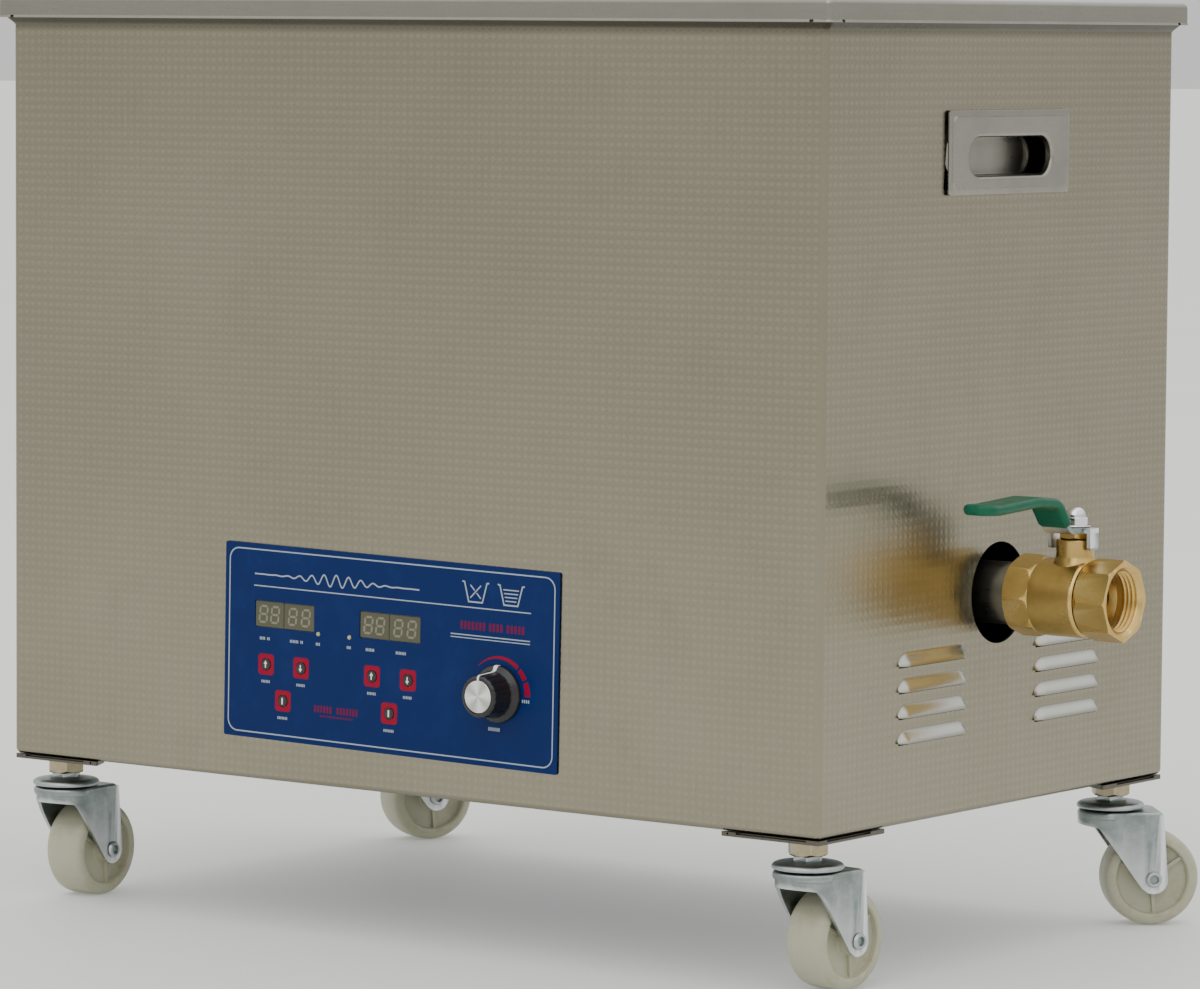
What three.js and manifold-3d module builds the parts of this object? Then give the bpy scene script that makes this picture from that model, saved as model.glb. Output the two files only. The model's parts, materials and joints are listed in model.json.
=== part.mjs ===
// Heated ultrasonic parts washer tank on casters, with a drain valve on its right-hand side.
// Millimetres. +X is to the right, +Y to the back, +Z up, and z = 0 is the floor.
import * as THREE from 'three';
import { mergeVertices } from 'three/addons/utils/BufferGeometryUtils.js';
import Module from 'manifold-3d';

const wasm = await Module();
wasm.setup();

// Driving dimensions.
const GAP = 0.3; // clearance kept between pieces that touch
const CABINET = { width: 530, depth: 325, base: 80, sheet: 1.5, flange: 12 };
const RIM = { top: 490, height: 11.5, overhang: 6, sheet: 1.2, corner: 3 };
const BASIN = { width: 500, depth: 300, deep: 250, sheet: 1.2, corner: 11 };
const DRAIN = { y: -2, z: 190, hole: 26, riser: 190, bend: 35, outer: 16, inner: 14.4, end: 287 };
const VALVE = { start: 279, stem: 310, split: 320, end: 339.5, corner: 21, barrel: 19.9, port: 12.5 };
const BALL = { radius: 16.5, bore: 12, slot: 7, slotDepth: 3.5 };
const LEVER = { plate: 226, thick: 2.5, width: 16, reach: 96, grip: 18.8, coat: 1.4 };
const PANEL = { x: -4, z: 152, width: 220, height: 102.6, tilt: 0.85, thick: 0.8 };
const WINDOW = { width: 39.6, height: 13.4, row: 14.6, columns: [-69.5, 1] };
const KNOB = { u: 72.2, v: -13.4, skirt: 14.6, body: 10.8, length: 17, cap: 8.3, shaft: 3 };
const KEY = { radius: 3, proud: 0.5, depth: 8 };
const HANDLE = { z: 414, width: 113, height: 42.5, proud: 3, slot: 77.5, slotHeight: 19.5, drop: 2.2 };
const LOUVRE = { inner: 32.3, length: 62.2, first: 121, pitch: 12.9, rows: 4, tall: 7, proud: 3.6 };
const CASTER = { inset: 20, wheel: 25.5, half: 12, trail: 21, plate: 2.2, plateSide: 62 };
const INLET = { x: 150, z: 130, width: 48, height: 28, socket: 24, socketHeight: 16, deep: 16 };
const TRANSDUCER = { x: 95, y: 68, length: 54 };

const KEYS = {
  button_temp_up: [-81.5, -11.8],
  button_temp_down: [-57.8, -11.8],
  button_heater: [-69.8, -30.1],
  button_time_up: [-10.3, -11.8],
  button_time_down: [13.4, -11.8],
  button_timer: [1.4, -30.1],
};

// Each caster's corner, as signs of x and y, and the heading of its trailing wheel from +X in degrees.
const CASTERS = {
  front_left: { x: -1, y: -1, heading: 92 },
  front_right: { x: 1, y: -1, heading: 84 },
  back_right: { x: 1, y: 1, heading: 42 },
  back_left: { x: -1, y: 1, heading: 64 },
};

const FINISHES = {
  stainless: [0x8f8c83, 0.35, 1.0],
  polished: [0xc9c9c6, 0.18, 1.0],
  zinc: [0x9aa3a8, 0.4, 1.0],
  brass: [0xb98f3e, 0.35, 1.0],
  chrome: [0xd5d6d8, 0.1, 1.0],
  blue: [0x1b3269, 0.5, 0.0],
  smoked: [0x69695a, 0.3, 0.0],
  black: [0x151515, 0.45, 0.0],
  green: [0x006e46, 0.4, 0.0],
  nylon: [0xd9d6c2, 0.5, 0.0],
  board: [0x1f5a38, 0.6, 0.0],
  ceramic: [0x55524c, 0.6, 0.0],
  silicone: [0xb2532a, 0.7, 0.0],
};

const HALF = Math.PI / 2;
const RADIANS = Math.PI / 180;
const BASE = CABINET.base;
const FRONT = -CABINET.depth / 2;
const SIDE = CABINET.width / 2;
const TANK_FLOOR = RIM.top - BASIN.deep;
const TANK_UNDER = TANK_FLOOR - BASIN.sheet;

// ---------------------------------------------------------------- shapes and booleans

function solid(geometry) {
  const bare = geometry.clone();
  bare.deleteAttribute('normal');
  bare.deleteAttribute('uv');
  const merged = mergeVertices(bare, 1e-4);
  const vertProperties = Float32Array.from(merged.attributes.position.array);
  const triVerts = Uint32Array.from(merged.index.array);
  return new wasm.Manifold(new wasm.Mesh({ numProp: 3, vertProperties, triVerts }));
}

const join = (first, ...others) => others.reduce((body, other) => body.add(other), first);
const cut = (first, ...tools) => tools.reduce((body, tool) => body.subtract(tool), first);

function geometryOf(body) {
  const { vertProperties, triVerts } = body.getMesh();
  const geometry = new THREE.BufferGeometry();
  geometry.setAttribute('position', new THREE.BufferAttribute(vertProperties, 3));
  geometry.setIndex(new THREE.BufferAttribute(triVerts, 1));
  geometry.computeVertexNormals();
  return geometry;
}

// A solid of revolution starts along +Y; these turn it to the other axes.
const alongX = (geometry) => geometry.rotateZ(-HALF);
const alongZ = (geometry) => geometry.rotateX(HALF);

function box([x0, x1], [y0, y1], [z0, z1]) {
  const geometry = new THREE.BoxGeometry(x1 - x0, y1 - y0, z1 - z0);
  return geometry.translate((x0 + x1) / 2, (y0 + y1) / 2, (z0 + z1) / 2);
}

function rod(radius, from, to, sides = 16) {
  return new THREE.CylinderGeometry(radius, radius, to - from, sides).translate(0, (from + to) / 2, 0);
}

const hexagon = (flats, from, to) => rod(flats / Math.sqrt(3), from, to, 6);
const octagon = (corner, from, to) => rod(corner, from, to, 8);

// A lathe profile is a list of [radius, height] that goes round the section anticlockwise.
function turned(profile, sides = 16) {
  const points = profile.map(([radius, height]) => new THREE.Vector2(radius, height));
  return new THREE.LatheGeometry(points, sides);
}

function roundedRectangle(width, height, radius) {
  const shape = new THREE.Shape();
  const x = width / 2 - radius;
  const y = height / 2 - radius;
  shape.absarc(x, y, radius, 0, HALF);
  shape.absarc(-x, y, radius, HALF, Math.PI);
  shape.absarc(-x, -y, radius, Math.PI, 3 * HALF);
  shape.absarc(x, -y, radius, 3 * HALF, 4 * HALF);
  return shape;
}

function prism(shape, from, to, curveSegments = 4) {
  const settings = { depth: to - from, bevelEnabled: false, curveSegments };
  return new THREE.ExtrudeGeometry(shape, settings).translate(0, 0, from);
}

function slab(width, depth, from, to, radius) {
  return prism(roundedRectangle(width, depth, radius), from, to, radius > 5 ? 4 : 2);
}

function polygon(points) {
  return new THREE.Shape(points.map(([x, y]) => new THREE.Vector2(x, y)));
}

// Extrudes an outline drawn in X and Z along Y.
const alongY = (shape, from, to) => prism(shape, from, to).rotateX(HALF).translate(0, from + to, 0);

// Extrudes an outline drawn in Y and Z along X.
const acrossX = (shape, from, to) => prism(shape, from, to).rotateX(HALF).rotateZ(HALF);

// The right-hand side's features, turned half a turn for the left-hand side.
const onSide = (geometry, side) => (side > 0 ? geometry : geometry.rotateZ(Math.PI));

// The outline of a bent strip: the points of its centre line, pushed apart by half its thickness.
function strip(points, thickness) {
  const line = points.map(([x, y]) => new THREE.Vector2(x, y));
  const edge = (sign) => line.map((point, i) => {
    const before = line[Math.max(i - 1, 0)];
    const after = line[Math.min(i + 1, line.length - 1)];
    const along = after.clone().sub(before).normalize();
    return new THREE.Vector2(-along.y, along.x).multiplyScalar((sign * thickness) / 2).add(point);
  });
  return new THREE.Shape([...edge(-1), ...edge(1).reverse()]);
}

// ---------------------------------------------------------------- the scene graph

function piece(parent, name, shape, finish) {
  const geometry = shape.isBufferGeometry ? shape : geometryOf(shape);
  const [color, roughness, metalness] = FINISHES[finish];
  const material = new THREE.MeshStandardMaterial({ color, roughness, metalness });
  const mesh = new THREE.Mesh(geometry, material);
  mesh.name = name;
  parent.add(mesh);
  return mesh;
}

function subgroup(parent, x = 0, y = 0, z = 0) {
  const group = new THREE.Group();
  group.position.set(x, y, z);
  parent.add(group);
  return group;
}

// ---------------------------------------------------------------- tank and housing

function tank() {
  const { sheet } = RIM;
  const width = CABINET.width + 2 * RIM.overhang;
  const depth = CABINET.depth + 2 * RIM.overhang;
  const lip = RIM.top - RIM.height;
  const flange = cut(
    solid(slab(width, depth, lip, RIM.top, RIM.corner)),
    solid(slab(width - 2 * sheet, depth - 2 * sheet, lip - 1, RIM.top - sheet, RIM.corner - sheet)),
  );
  const wall = 2 * BASIN.sheet;
  const outside = slab(
    BASIN.width + wall,
    BASIN.depth + wall,
    TANK_UNDER,
    RIM.top,
    BASIN.corner + 1,
  );
  const inside = slab(BASIN.width, BASIN.depth, TANK_FLOOR, RIM.top + 1, BASIN.corner);
  const drain = alongZ(rod(DRAIN.inner, TANK_UNDER - 1, TANK_FLOOR + 1));
  drain.translate(DRAIN.riser, DRAIN.y, 0);
  return cut(join(flange, solid(outside)), solid(inside), solid(drain));
}

// Places a geometry that is drawn around the panel's centre, with its front face at y = 0.
function onPanel(geometry) {
  return geometry.rotateY(PANEL.tilt * RADIANS).translate(PANEL.x, FRONT, PANEL.z);
}

const panelHole = (u, v, radius) => rod(radius, -4, 4, 12).translate(u, 0, v);

function panelHoles(clearance) {
  const windows = WINDOW.columns.map((u) => box(
    [u - WINDOW.width / 2 - clearance, u + WINDOW.width / 2 + clearance],
    [-4, 4],
    [WINDOW.row - WINDOW.height / 2 - clearance, WINDOW.row + WINDOW.height / 2 + clearance],
  ));
  const keys = Object.values(KEYS).map(([u, v]) => panelHole(u, v, KEY.radius + clearance));
  return [...windows, ...keys, panelHole(KNOB.u, KNOB.v, KNOB.shaft + 1.5 + clearance)];
}

// A pressed louvre: its hood, and the throat that opens through the wall and out of the hood's
// lower edge.
function louvre(side, y, z) {
  const { tall, proud, length } = LOUVRE;
  const skin = 1.1;
  const hood = polygon([
    [-0.5, 0],
    [proud, 0],
    [proud, tall * 0.4],
    [proud * 0.6, tall * 0.85],
    [-0.5, tall],
  ]);
  const throat = polygon([
    [-4, -1],
    [proud - skin, -1],
    [proud - skin, tall * 0.35],
    [proud * 0.6 - skin, tall * 0.65],
    [-4, tall * 0.7],
  ]);
  const place = (geometry) => solid(onSide(geometry.translate(SIDE, y, z), side));
  return {
    hood: place(alongY(hood, -length / 2, length / 2)),
    throat: place(alongY(throat, skin - length / 2, length / 2 - skin)),
  };
}

function louvres() {
  const all = [];
  for (const side of [1, -1]) {
    for (const column of [1, -1]) {
      for (let row = 0; row < LOUVRE.rows; row += 1) {
        const y = column * (LOUVRE.inner + LOUVRE.length / 2);
        all.push(louvre(side, y, LOUVRE.first + row * LOUVRE.pitch));
      }
    }
  }
  return all;
}

function housing() {
  const { width, depth, sheet, flange } = CABINET;
  const top = RIM.top - RIM.sheet - GAP;
  const shell = cut(
    solid(slab(width, depth, BASE, top, 3)),
    solid(slab(width - 2 * sheet, depth - 2 * sheet, BASE + sheet, top + 1, 1.5)),
    solid(slab(width - 2 * flange, depth - 2 * flange, BASE - 1, BASE + sheet + 1, 1.5)),
  );
  const vents = louvres();
  const grips = [1, -1].map((side) => onSide(box(
    [SIDE - 4, SIDE + 4],
    [-HANDLE.width / 2 + 8, HANDLE.width / 2 - 8],
    [HANDLE.z - HANDLE.height / 2 + 3, HANDLE.z + HANDLE.height / 2 - 3],
  ), side));
  const holes = [
    ...grips,
    ...panelHoles(GAP).map(onPanel),
    alongX(rod(DRAIN.hole, SIDE - 4, SIDE + 4, 32)).translate(0, DRAIN.y, DRAIN.z),
    inletBody(GAP, -6, 6),
  ];
  const hooded = join(shell, ...vents.map((vent) => vent.hood));
  const throats = vents.map((vent) => vent.throat);
  return cut(hooded, ...throats, ...holes.map(solid));
}

function basePlate() {
  const side = 2 * (CABINET.sheet + GAP);
  const low = BASE + CABINET.sheet + GAP;
  const plate = solid(slab(CABINET.width - side, CABINET.depth - side, low, low + CABINET.sheet, 1.2));
  const holes = Object.values(CASTERS).map((corner) => {
    const x = corner.x * (SIDE - CASTER.inset);
    const y = corner.y * (-FRONT - CASTER.inset);
    return solid(alongZ(rod(5.6, low - 1, low + 4, 14)).translate(x, y, 0));
  });
  return cut(plate, ...holes);
}

function cornerPlate() {
  const { plateSide, plate, inset } = CASTER;
  const edge = 0.4;
  const outline = polygon([
    [edge, edge],
    [plateSide, edge],
    [plateSide - 7, 14],
    [14, plateSide - 7],
    [edge, plateSide],
  ]);
  const blank = prism(outline, BASE - GAP - plate, BASE - GAP);
  const hole = alongZ(rod(5.3, BASE - 9, BASE + 1, 14)).translate(inset, inset, 0);
  return cut(solid(blank), solid(hole));
}

function addCabinet(parent) {
  piece(parent, 'tank', tank(), 'stainless');
  piece(parent, 'housing', housing(), 'stainless');
  piece(parent, 'base_plate', basePlate(), 'zinc');
  const turns = { front_left: 0, front_right: 1, back_right: 2, back_left: 3 };
  for (const [corner, turn] of Object.entries(turns)) {
    const plate = piece(parent, `corner_plate_${corner}`, cornerPlate(), 'stainless');
    plate.position.set(CASTERS[corner].x * SIDE, CASTERS[corner].y * -FRONT, 0);
    plate.rotation.z = turn * HALF;
  }
}

// ---------------------------------------------------------------- control panel

function addPanel(parent) {
  const group = subgroup(parent, PANEL.x, FRONT, PANEL.z);
  group.rotation.y = PANEL.tilt * RADIANS;
  const back = -GAP;
  const face = back - PANEL.thick;
  const sheet = box(
    [-PANEL.width / 2, PANEL.width / 2],
    [face, back],
    [-PANEL.height / 2, PANEL.height / 2],
  );
  piece(group, 'control_overlay', cut(solid(sheet), ...panelHoles(GAP).map(solid)), 'blue');
  ['display_temperature', 'display_timer'].forEach((name, i) => {
    const u = WINDOW.columns[i];
    const lens = box(
      [u - WINDOW.width / 2, u + WINDOW.width / 2],
      [face + 0.3, 9],
      [WINDOW.row - WINDOW.height / 2, WINDOW.row + WINDOW.height / 2],
    );
    piece(group, name, lens, 'smoked');
  });
  for (const [name, [u, v]] of Object.entries(KEYS)) {
    const { radius } = KEY;
    const front = face - KEY.proud;
    const cap = turned([
      [0, front],
      [radius - 0.5, front],
      [radius, front + 0.4],
      [radius, 3],
      [radius + 1.2, 3],
      [radius + 1.2, KEY.depth],
      [0, KEY.depth],
    ], 12);
    piece(group, name, cap, 'black').position.set(u, 0, v);
  }
  const board = box([-92, 62], [9.3, 10.9], [-42, 30]);
  piece(group, 'control_board', board, 'board');
  addKnob(subgroup(group, KNOB.u, 0, KNOB.v), face);
}

// The knob's axis is along Y; its skirt sits just in front of the overlay.
function addKnob(parent, face) {
  const { skirt, body, length, cap, shaft } = KNOB;
  const back = face - GAP;
  const front = back - length;
  const recess = front + 1;
  const tip = front + 4;
  const bore = shaft + GAP;
  piece(parent, 'knob', turned([
    [0, recess],
    [cap + GAP, recess],
    [cap + GAP, front],
    [body - 1, front],
    [body, front + 1],
    [body + 0.7, back - 3.4],
    [skirt - 0.6, back - 2.6],
    [skirt, back - 1.6],
    [skirt, back],
    [bore, back],
    [bore, tip - GAP],
    [0, tip - GAP],
  ], 24), 'black');
  const disc = [[0, front], [cap, front], [cap, recess - GAP], [0, recess - GAP]];
  piece(parent, 'knob_cap', turned(disc, 24), 'polished');
  piece(parent, 'knob_shaft', rod(shaft, tip, 22, 16), 'polished');
  piece(parent, 'potentiometer', turned([
    [bore, face + GAP],
    [shaft + 1.5, face + GAP],
    [shaft + 1.5, 4],
    [8, 4],
    [8, 14],
    [bore, 14],
    [bore, face + GAP],
  ], 20), 'zinc');
}

// ---------------------------------------------------------------- handles

function stadium(width, height, from, to) {
  return slab(width, height, from, to, height / 2 - 0.01);
}

// A recessed pull: a proud plate with a rounded finger slot and a closed cup behind it. Drawn facing +X.
function handle() {
  const { width, height, proud, slot, slotHeight, drop } = HANDLE;
  const wall = 1;
  const back = -(SIDE - BASIN.width / 2 - BASIN.sheet - 0.8);
  const facing = (geometry) => solid(geometry.rotateX(HALF).rotateZ(HALF));
  const plate = facing(slab(width, height, GAP, proud, 2));
  const cup = facing(
    stadium(slot + 2 * wall, slotHeight + 2 * wall, back, proud - 0.5).translate(0, -drop, 0),
  );
  const hollow = facing(
    stadium(slot, slotHeight, back + wall, proud + 1).translate(0, -drop, 0),
  );
  return cut(join(plate, cup), hollow);
}

function addHandles(parent) {
  for (const [name, side] of [['handle_right', 1], ['handle_left', -1]]) {
    const pull = piece(parent, name, handle(), 'polished');
    pull.position.set(side * SIDE, 0, HANDLE.z);
    pull.rotation.z = side > 0 ? 0 : Math.PI;
  }
}

// ---------------------------------------------------------------- drain and ball valve

function drainPipe() {
  const { riser, bend, outer, inner, end } = DRAIN;
  const top = TANK_UNDER - DRAIN.z - GAP;
  const path = new THREE.CurvePath();
  const point = (x, z) => new THREE.Vector3(x, 0, z);
  path.add(new THREE.LineCurve3(point(riser, top), point(riser, bend)));
  path.add(
    new THREE.QuadraticBezierCurve3(point(riser, bend), point(riser, 0), point(riser + bend, 0)),
  );
  path.add(new THREE.LineCurve3(point(riser + bend, 0), point(end, 0)));
  const section = new THREE.Shape().absarc(0, 0, outer, 0, 2 * Math.PI);
  section.holes.push(new THREE.Path().absarc(0, 0, inner, 0, 2 * Math.PI, true));
  return new THREE.ExtrudeGeometry(section, {
    steps: 12,
    curveSegments: 7,
    bevelEnabled: false,
    extrudePath: path,
  });
}

function valveBody() {
  const { start, stem, split, corner, barrel, port } = VALVE;
  const neck = alongX(octagon(corner, start, start + 13));
  const drum = alongX(turned([
    [0, start + 6],
    [17, start + 6],
    [barrel - 0.5, start + 15],
    [barrel, start + 20],
    [barrel, split - 3],
    [barrel - 1, split],
    [0, split],
  ], 28));
  const bonnet = alongZ(rod(9.5, 12, 30)).translate(stem, 0, 0);
  const cuts = [
    alongX(rod(DRAIN.outer + 2 * GAP, start - 1, DRAIN.end + 1)),
    alongX(rod(port, start, split)),
    alongX(rod(BALL.radius + 0.7, stem - BALL.radius - 0.5, split + 1, 24)),
    alongZ(rod(4.8, 14, 31, 14)).translate(stem, 0, 0),
  ];
  return cut(join(solid(neck), solid(drum), solid(bonnet)), ...cuts.map(solid));
}

function valveEnd() {
  const { stem, split, end, corner, port } = VALVE;
  const outline = alongX(turned([
    [0, split + GAP],
    [corner - 2, split + GAP],
    [corner + 1, split + 3],
    [corner + 1, end],
    [0, end],
  ], 28));
  const blank = solid(alongX(octagon(corner, split, end + 1))).intersect(solid(outline));
  const cuts = [
    new THREE.SphereGeometry(BALL.radius + 0.6, 20, 14).translate(stem, 0, 0),
    alongX(rod(port, split, end)),
    alongX(rod(15.2, end - 12, end + 1, 24)),
  ];
  return cut(blank, ...cuts.map(solid));
}

function valveBall() {
  const { radius, bore, slot, slotDepth } = BALL;
  const ball = solid(new THREE.SphereGeometry(radius, 20, 12));
  const keyway = box([-slot / 2, slot / 2], [-radius, radius], [radius - slotDepth, radius + 1]);
  return cut(ball, solid(rod(bore, -radius - 1, radius + 1, 20)), solid(keyway));
}

// The height of each point of the lever is above the plate's underside.
const BEND = [
  [-25.6, 10.4],
  [-30.5, 12.9],
  [-46, 14.4],
  [-82, 12.7],
];
const LEVER_LINE = [
  [7, 0],
  [-14.4, 0],
  [-17.1, 1.3],
  ...BEND,
  [-LEVER.reach + 1.5, 14.3],
];
const GRIP_LINE = [
  [-19.6, 4],
  ...BEND,
  [-LEVER.reach, 14.5],
];

function lever() {
  const { thick, width } = LEVER;
  const arm = acrossX(strip(LEVER_LINE, thick), -width / 2, width / 2);
  const stops = [[-12.5, -10.5], [10.5, 12.5]].map((x) => box(x, [-6, 2], [-8.5, thick]));
  const wings = box([-12.5, 12.5], [-6, 2], [0, thick]);
  const hole = alongZ(rod(4.3, -1, thick + 1, 14));
  const body = join(solid(arm.translate(0, 0, thick / 2)), solid(wings), ...stops.map(solid));
  return cut(body, solid(hole));
}

function leverGrip() {
  const { thick, width, grip, coat } = LEVER;
  const place = (geometry) => solid(geometry.translate(0, 0, thick / 2));
  const skin = place(acrossX(strip(GRIP_LINE, thick + 2 * coat), -grip / 2, grip / 2));
  const side = width / 2 + GAP;
  const core = place(acrossX(strip(LEVER_LINE, thick + 2 * GAP), -side, side));
  return cut(skin, core);
}

function addDrain(parent) {
  const group = subgroup(parent, 0, DRAIN.y, DRAIN.z);
  piece(group, 'drain_pipe', drainPipe(), 'polished');
  piece(group, 'valve_body', valveBody(), 'brass');
  piece(group, 'valve_end', valveEnd(), 'brass');
  const spindle = subgroup(group, VALVE.stem);
  piece(spindle, 'valve_ball', valveBall(), 'chrome');
  const plate = LEVER.plate - DRAIN.z;
  const foot = BALL.radius + 0.4;
  const tang = box([-3.1, 3.1], [-3.3, 3.3], [foot - BALL.slotDepth - 0.1, foot + 0.6]);
  const stem = alongZ(turned([
    [0, foot],
    [4.4, foot],
    [4.4, plate - GAP],
    [4, plate - GAP],
    [4, 45.4],
    [0, 45.4],
  ], 14));
  piece(spindle, 'valve_stem', join(solid(tang), solid(stem)), 'zinc');
  const gland = solid(alongZ(hexagon(15, 30 + GAP, plate - 1.2)));
  const glandHole = solid(alongZ(rod(4.8, 29, 40, 14)));
  piece(spindle, 'packing_nut', cut(gland, glandHole), 'brass');
  const raised = subgroup(spindle, 0, 0, plate);
  piece(raised, 'valve_lever', lever(), 'zinc');
  piece(raised, 'lever_grip', leverGrip(), 'green');
  piece(raised, 'lever_nut', leverNut(), 'chrome');
}

// An acorn nut with a blind thread.
function leverNut() {
  const foot = LEVER.thick + GAP;
  const hex = solid(alongZ(hexagon(13, foot, foot + 5)));
  const dome = alongZ(turned([
    [0, foot + 3],
    [5.6, foot + 3],
    [5.6, foot + 7],
    [4.4, foot + 10.2],
    [2, foot + 12],
    [0, foot + 12],
  ], 18));
  return cut(join(hex, solid(dome)), solid(alongZ(rod(4.3, foot - 1, foot + 7.4, 14))));
}

// ---------------------------------------------------------------- casters

function casterStem() {
  const low = 56.5;
  const race = 62.4;
  return alongZ(turned([
    [0, low],
    [7, low],
    [7, low + 2.7],
    [4, low + 2.7],
    [4, race],
    [18, race],
    [18, race + 1],
    [9, race + 4.8],
    [9, 69],
    [5, 69],
    [5, 90],
    [0, 90],
  ], 14));
}

function casterNut() {
  const { plate } = CASTER;
  const top = BASE - 2 * GAP - plate;
  const blank = solid(alongZ(hexagon(18.5, 69 + GAP, top)));
  return cut(blank, solid(alongZ(rod(5.3, 68, top + 1, 14))));
}

// The fork trails towards +X, and its axle lies along Y. Its crown reaches back over the wheel.
function casterFork() {
  const { trail, wheel, half } = CASTER;
  const top = 61.5;
  const inner = half + 1.6;
  const outer = inner + 2;
  const ear = trail + 5;
  const disc = solid(alongZ(rod(17.5, top - 2, top, 20)));
  const reach = outer - 0.5;
  const crown = join(disc, solid(box([0, ear], [-reach, reach], [top - 2, top])));
  const ring = [[17.5, 54], [17.5, top], [15.8, top], [15.8, 54], [17.5, 54]];
  const front = solid(box([-20, 0], [-20, 20], [50, 65]));
  const skirt = solid(alongZ(turned(ring, 20))).intersect(front);
  const outline = new THREE.Shape();
  outline.moveTo(-8, top);
  outline.lineTo(-8, 55);
  outline.absarc(trail, wheel, 7.8, 215 * RADIANS, 375 * RADIANS);
  outline.lineTo(ear, top);
  const arms = [[inner, outer], [-outer, -inner]].map(([from, to]) => solid(alongY(outline, from, to)));
  const holes = [
    rod(3.3, -20, 20, 12).translate(trail, 0, wheel),
    alongZ(rod(4.3, 40, 70, 12)),
  ];
  return cut(join(crown, skirt, ...arms), ...holes.map(solid));
}

function casterAxle() {
  const shoulder = CASTER.half + 3.9;
  const end = shoulder + 2;
  return turned([
    [0, -end],
    [4.6, -end],
    [4.6, -shoulder],
    [3, -shoulder],
    [3, shoulder],
    [4.6, shoulder],
    [4.6, end],
    [0, end],
  ], 12);
}

function casterWheel() {
  const { wheel, half } = CASTER;
  return turned([
    [3.4, -half - 1],
    [9, -half - 1],
    [9, -half + 1],
    [20.5, -half],
    [wheel, -half + 3],
    [wheel, half - 3],
    [20.5, half],
    [9, half - 1],
    [9, half + 1],
    [3.4, half + 1],
    [3.4, -half - 1],
  ], 20);
}

function addCasters(parent) {
  for (const [corner, { x, y, heading }] of Object.entries(CASTERS)) {
    const caster = subgroup(parent, x * (SIDE - CASTER.inset), y * (-FRONT - CASTER.inset), 0);
    piece(caster, `caster_nut_${corner}`, casterNut(), 'zinc');
    piece(caster, `caster_stem_${corner}`, casterStem(), 'zinc');
    const swivel = subgroup(caster);
    swivel.rotation.z = heading * RADIANS;
    piece(swivel, `caster_fork_${corner}`, casterFork(), 'zinc');
    const hub = subgroup(swivel, CASTER.trail, 0, CASTER.wheel);
    piece(hub, `caster_axle_${corner}`, casterAxle(), 'zinc');
    piece(hub, `caster_wheel_${corner}`, casterWheel(), 'nylon');
  }
}

// ---------------------------------------------------------------- inside the cabinet

function transducer() {
  const { length } = TRANSDUCER;
  const hex = -length;
  return alongZ(turned([
    [0, hex],
    [6, hex],
    [6, hex + 5],
    [18, hex + 5],
    [18, -30],
    [16.5, -30],
    [16.5, -24],
    [25, -4],
    [25, 0],
    [0, 0],
  ], 12));
}

// The appliance inlet sits in the back wall. Its body is drawn from one depth to another.
function inletBody(clearance, from, to) {
  const width = INLET.socket / 2 + 3 + clearance;
  const height = INLET.socketHeight / 2 + 3 + clearance;
  return box(
    [INLET.x - width, INLET.x + width],
    [-FRONT + from, -FRONT + to],
    [INLET.z - height, INLET.z + height],
  );
}

function powerInlet() {
  const { x, z, width, height, socket, socketHeight, deep } = INLET;
  const back = -FRONT;
  const flange = box(
    [x - width / 2, x + width / 2],
    [back + GAP, back + 3],
    [z - height / 2, z + height / 2],
  );
  const recess = box(
    [x - socket / 2, x + socket / 2],
    [back + 3 - deep, back + 4],
    [z - socketHeight / 2, z + socketHeight / 2],
  );
  const pins = [[-7, -1.5], [0, 2.5], [7, -1.5]].map(([u, v]) => (
    box([x + u - 1, x + u + 1], [back + 2 - deep, back - 2], [z + v - 2, z + v + 2])
  ));
  const shell = cut(join(solid(flange), solid(inletBody(0, -20, 2))), solid(recess));
  return join(shell, ...pins.map(solid));
}

function generatorBoard() {
  const low = BASE + 14;
  const board = box([-190, -10], [-20, 100], [low, low + 1.6]);
  const heatSink = box([-180, -90], [10, 60], [low + 1, low + 41]);
  const filter = box([-70, -30], [20, 60], [low + 1, low + 31]);
  const coil = alongZ(turned([[7, 0], [17, 0], [17, 16], [7, 16], [7, 0]], 20));
  coil.translate(-50, -2, low + 1.2);
  const feet = [[-182, -12], [-18, -12], [-18, 92], [-182, 92]].map(([x, y]) => (
    alongZ(rod(4, BASE + 2 * CABINET.sheet + 2 * GAP, low + 1, 10)).translate(x, y, 0)
  ));
  return join(...[board, heatSink, filter, coil, ...feet].map(solid));
}

function addInside(parent) {
  const { x: across, y: deep } = TRANSDUCER;
  [[-1, -1], [1, -1], [1, 1], [-1, 1]].forEach(([x, y], i) => {
    const horn = piece(parent, `transducer_${i + 1}`, transducer(), 'ceramic');
    horn.position.set(x * across, y * deep, TANK_UNDER - GAP);
  });
  const wall = -BASIN.depth / 2 - BASIN.sheet - GAP;
  const pad = box([-170, 170], [wall - 2, wall], [TANK_FLOOR + 15, TANK_FLOOR + 105]);
  piece(parent, 'heater_pad', pad, 'silicone');
  piece(parent, 'generator_board', generatorBoard(), 'board');
  piece(parent, 'power_inlet', powerInlet(), 'black');
}

// ---------------------------------------------------------------- assembly

const washer = new THREE.Group();
addCabinet(washer);
addPanel(washer);
addHandles(washer);
addDrain(washer);
addCasters(washer);
addInside(washer);

// The origin is the middle of the whole object's outline on the floor.
washer.updateMatrixWorld(true);
const middle = new THREE.Box3().setFromObject(washer, true).getCenter(new THREE.Vector3());
washer.position.set(-middle.x, -middle.y, 0);

export default washer;
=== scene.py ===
import json
import math

import bmesh
import bpy
from mathutils import Matrix, Vector


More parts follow.
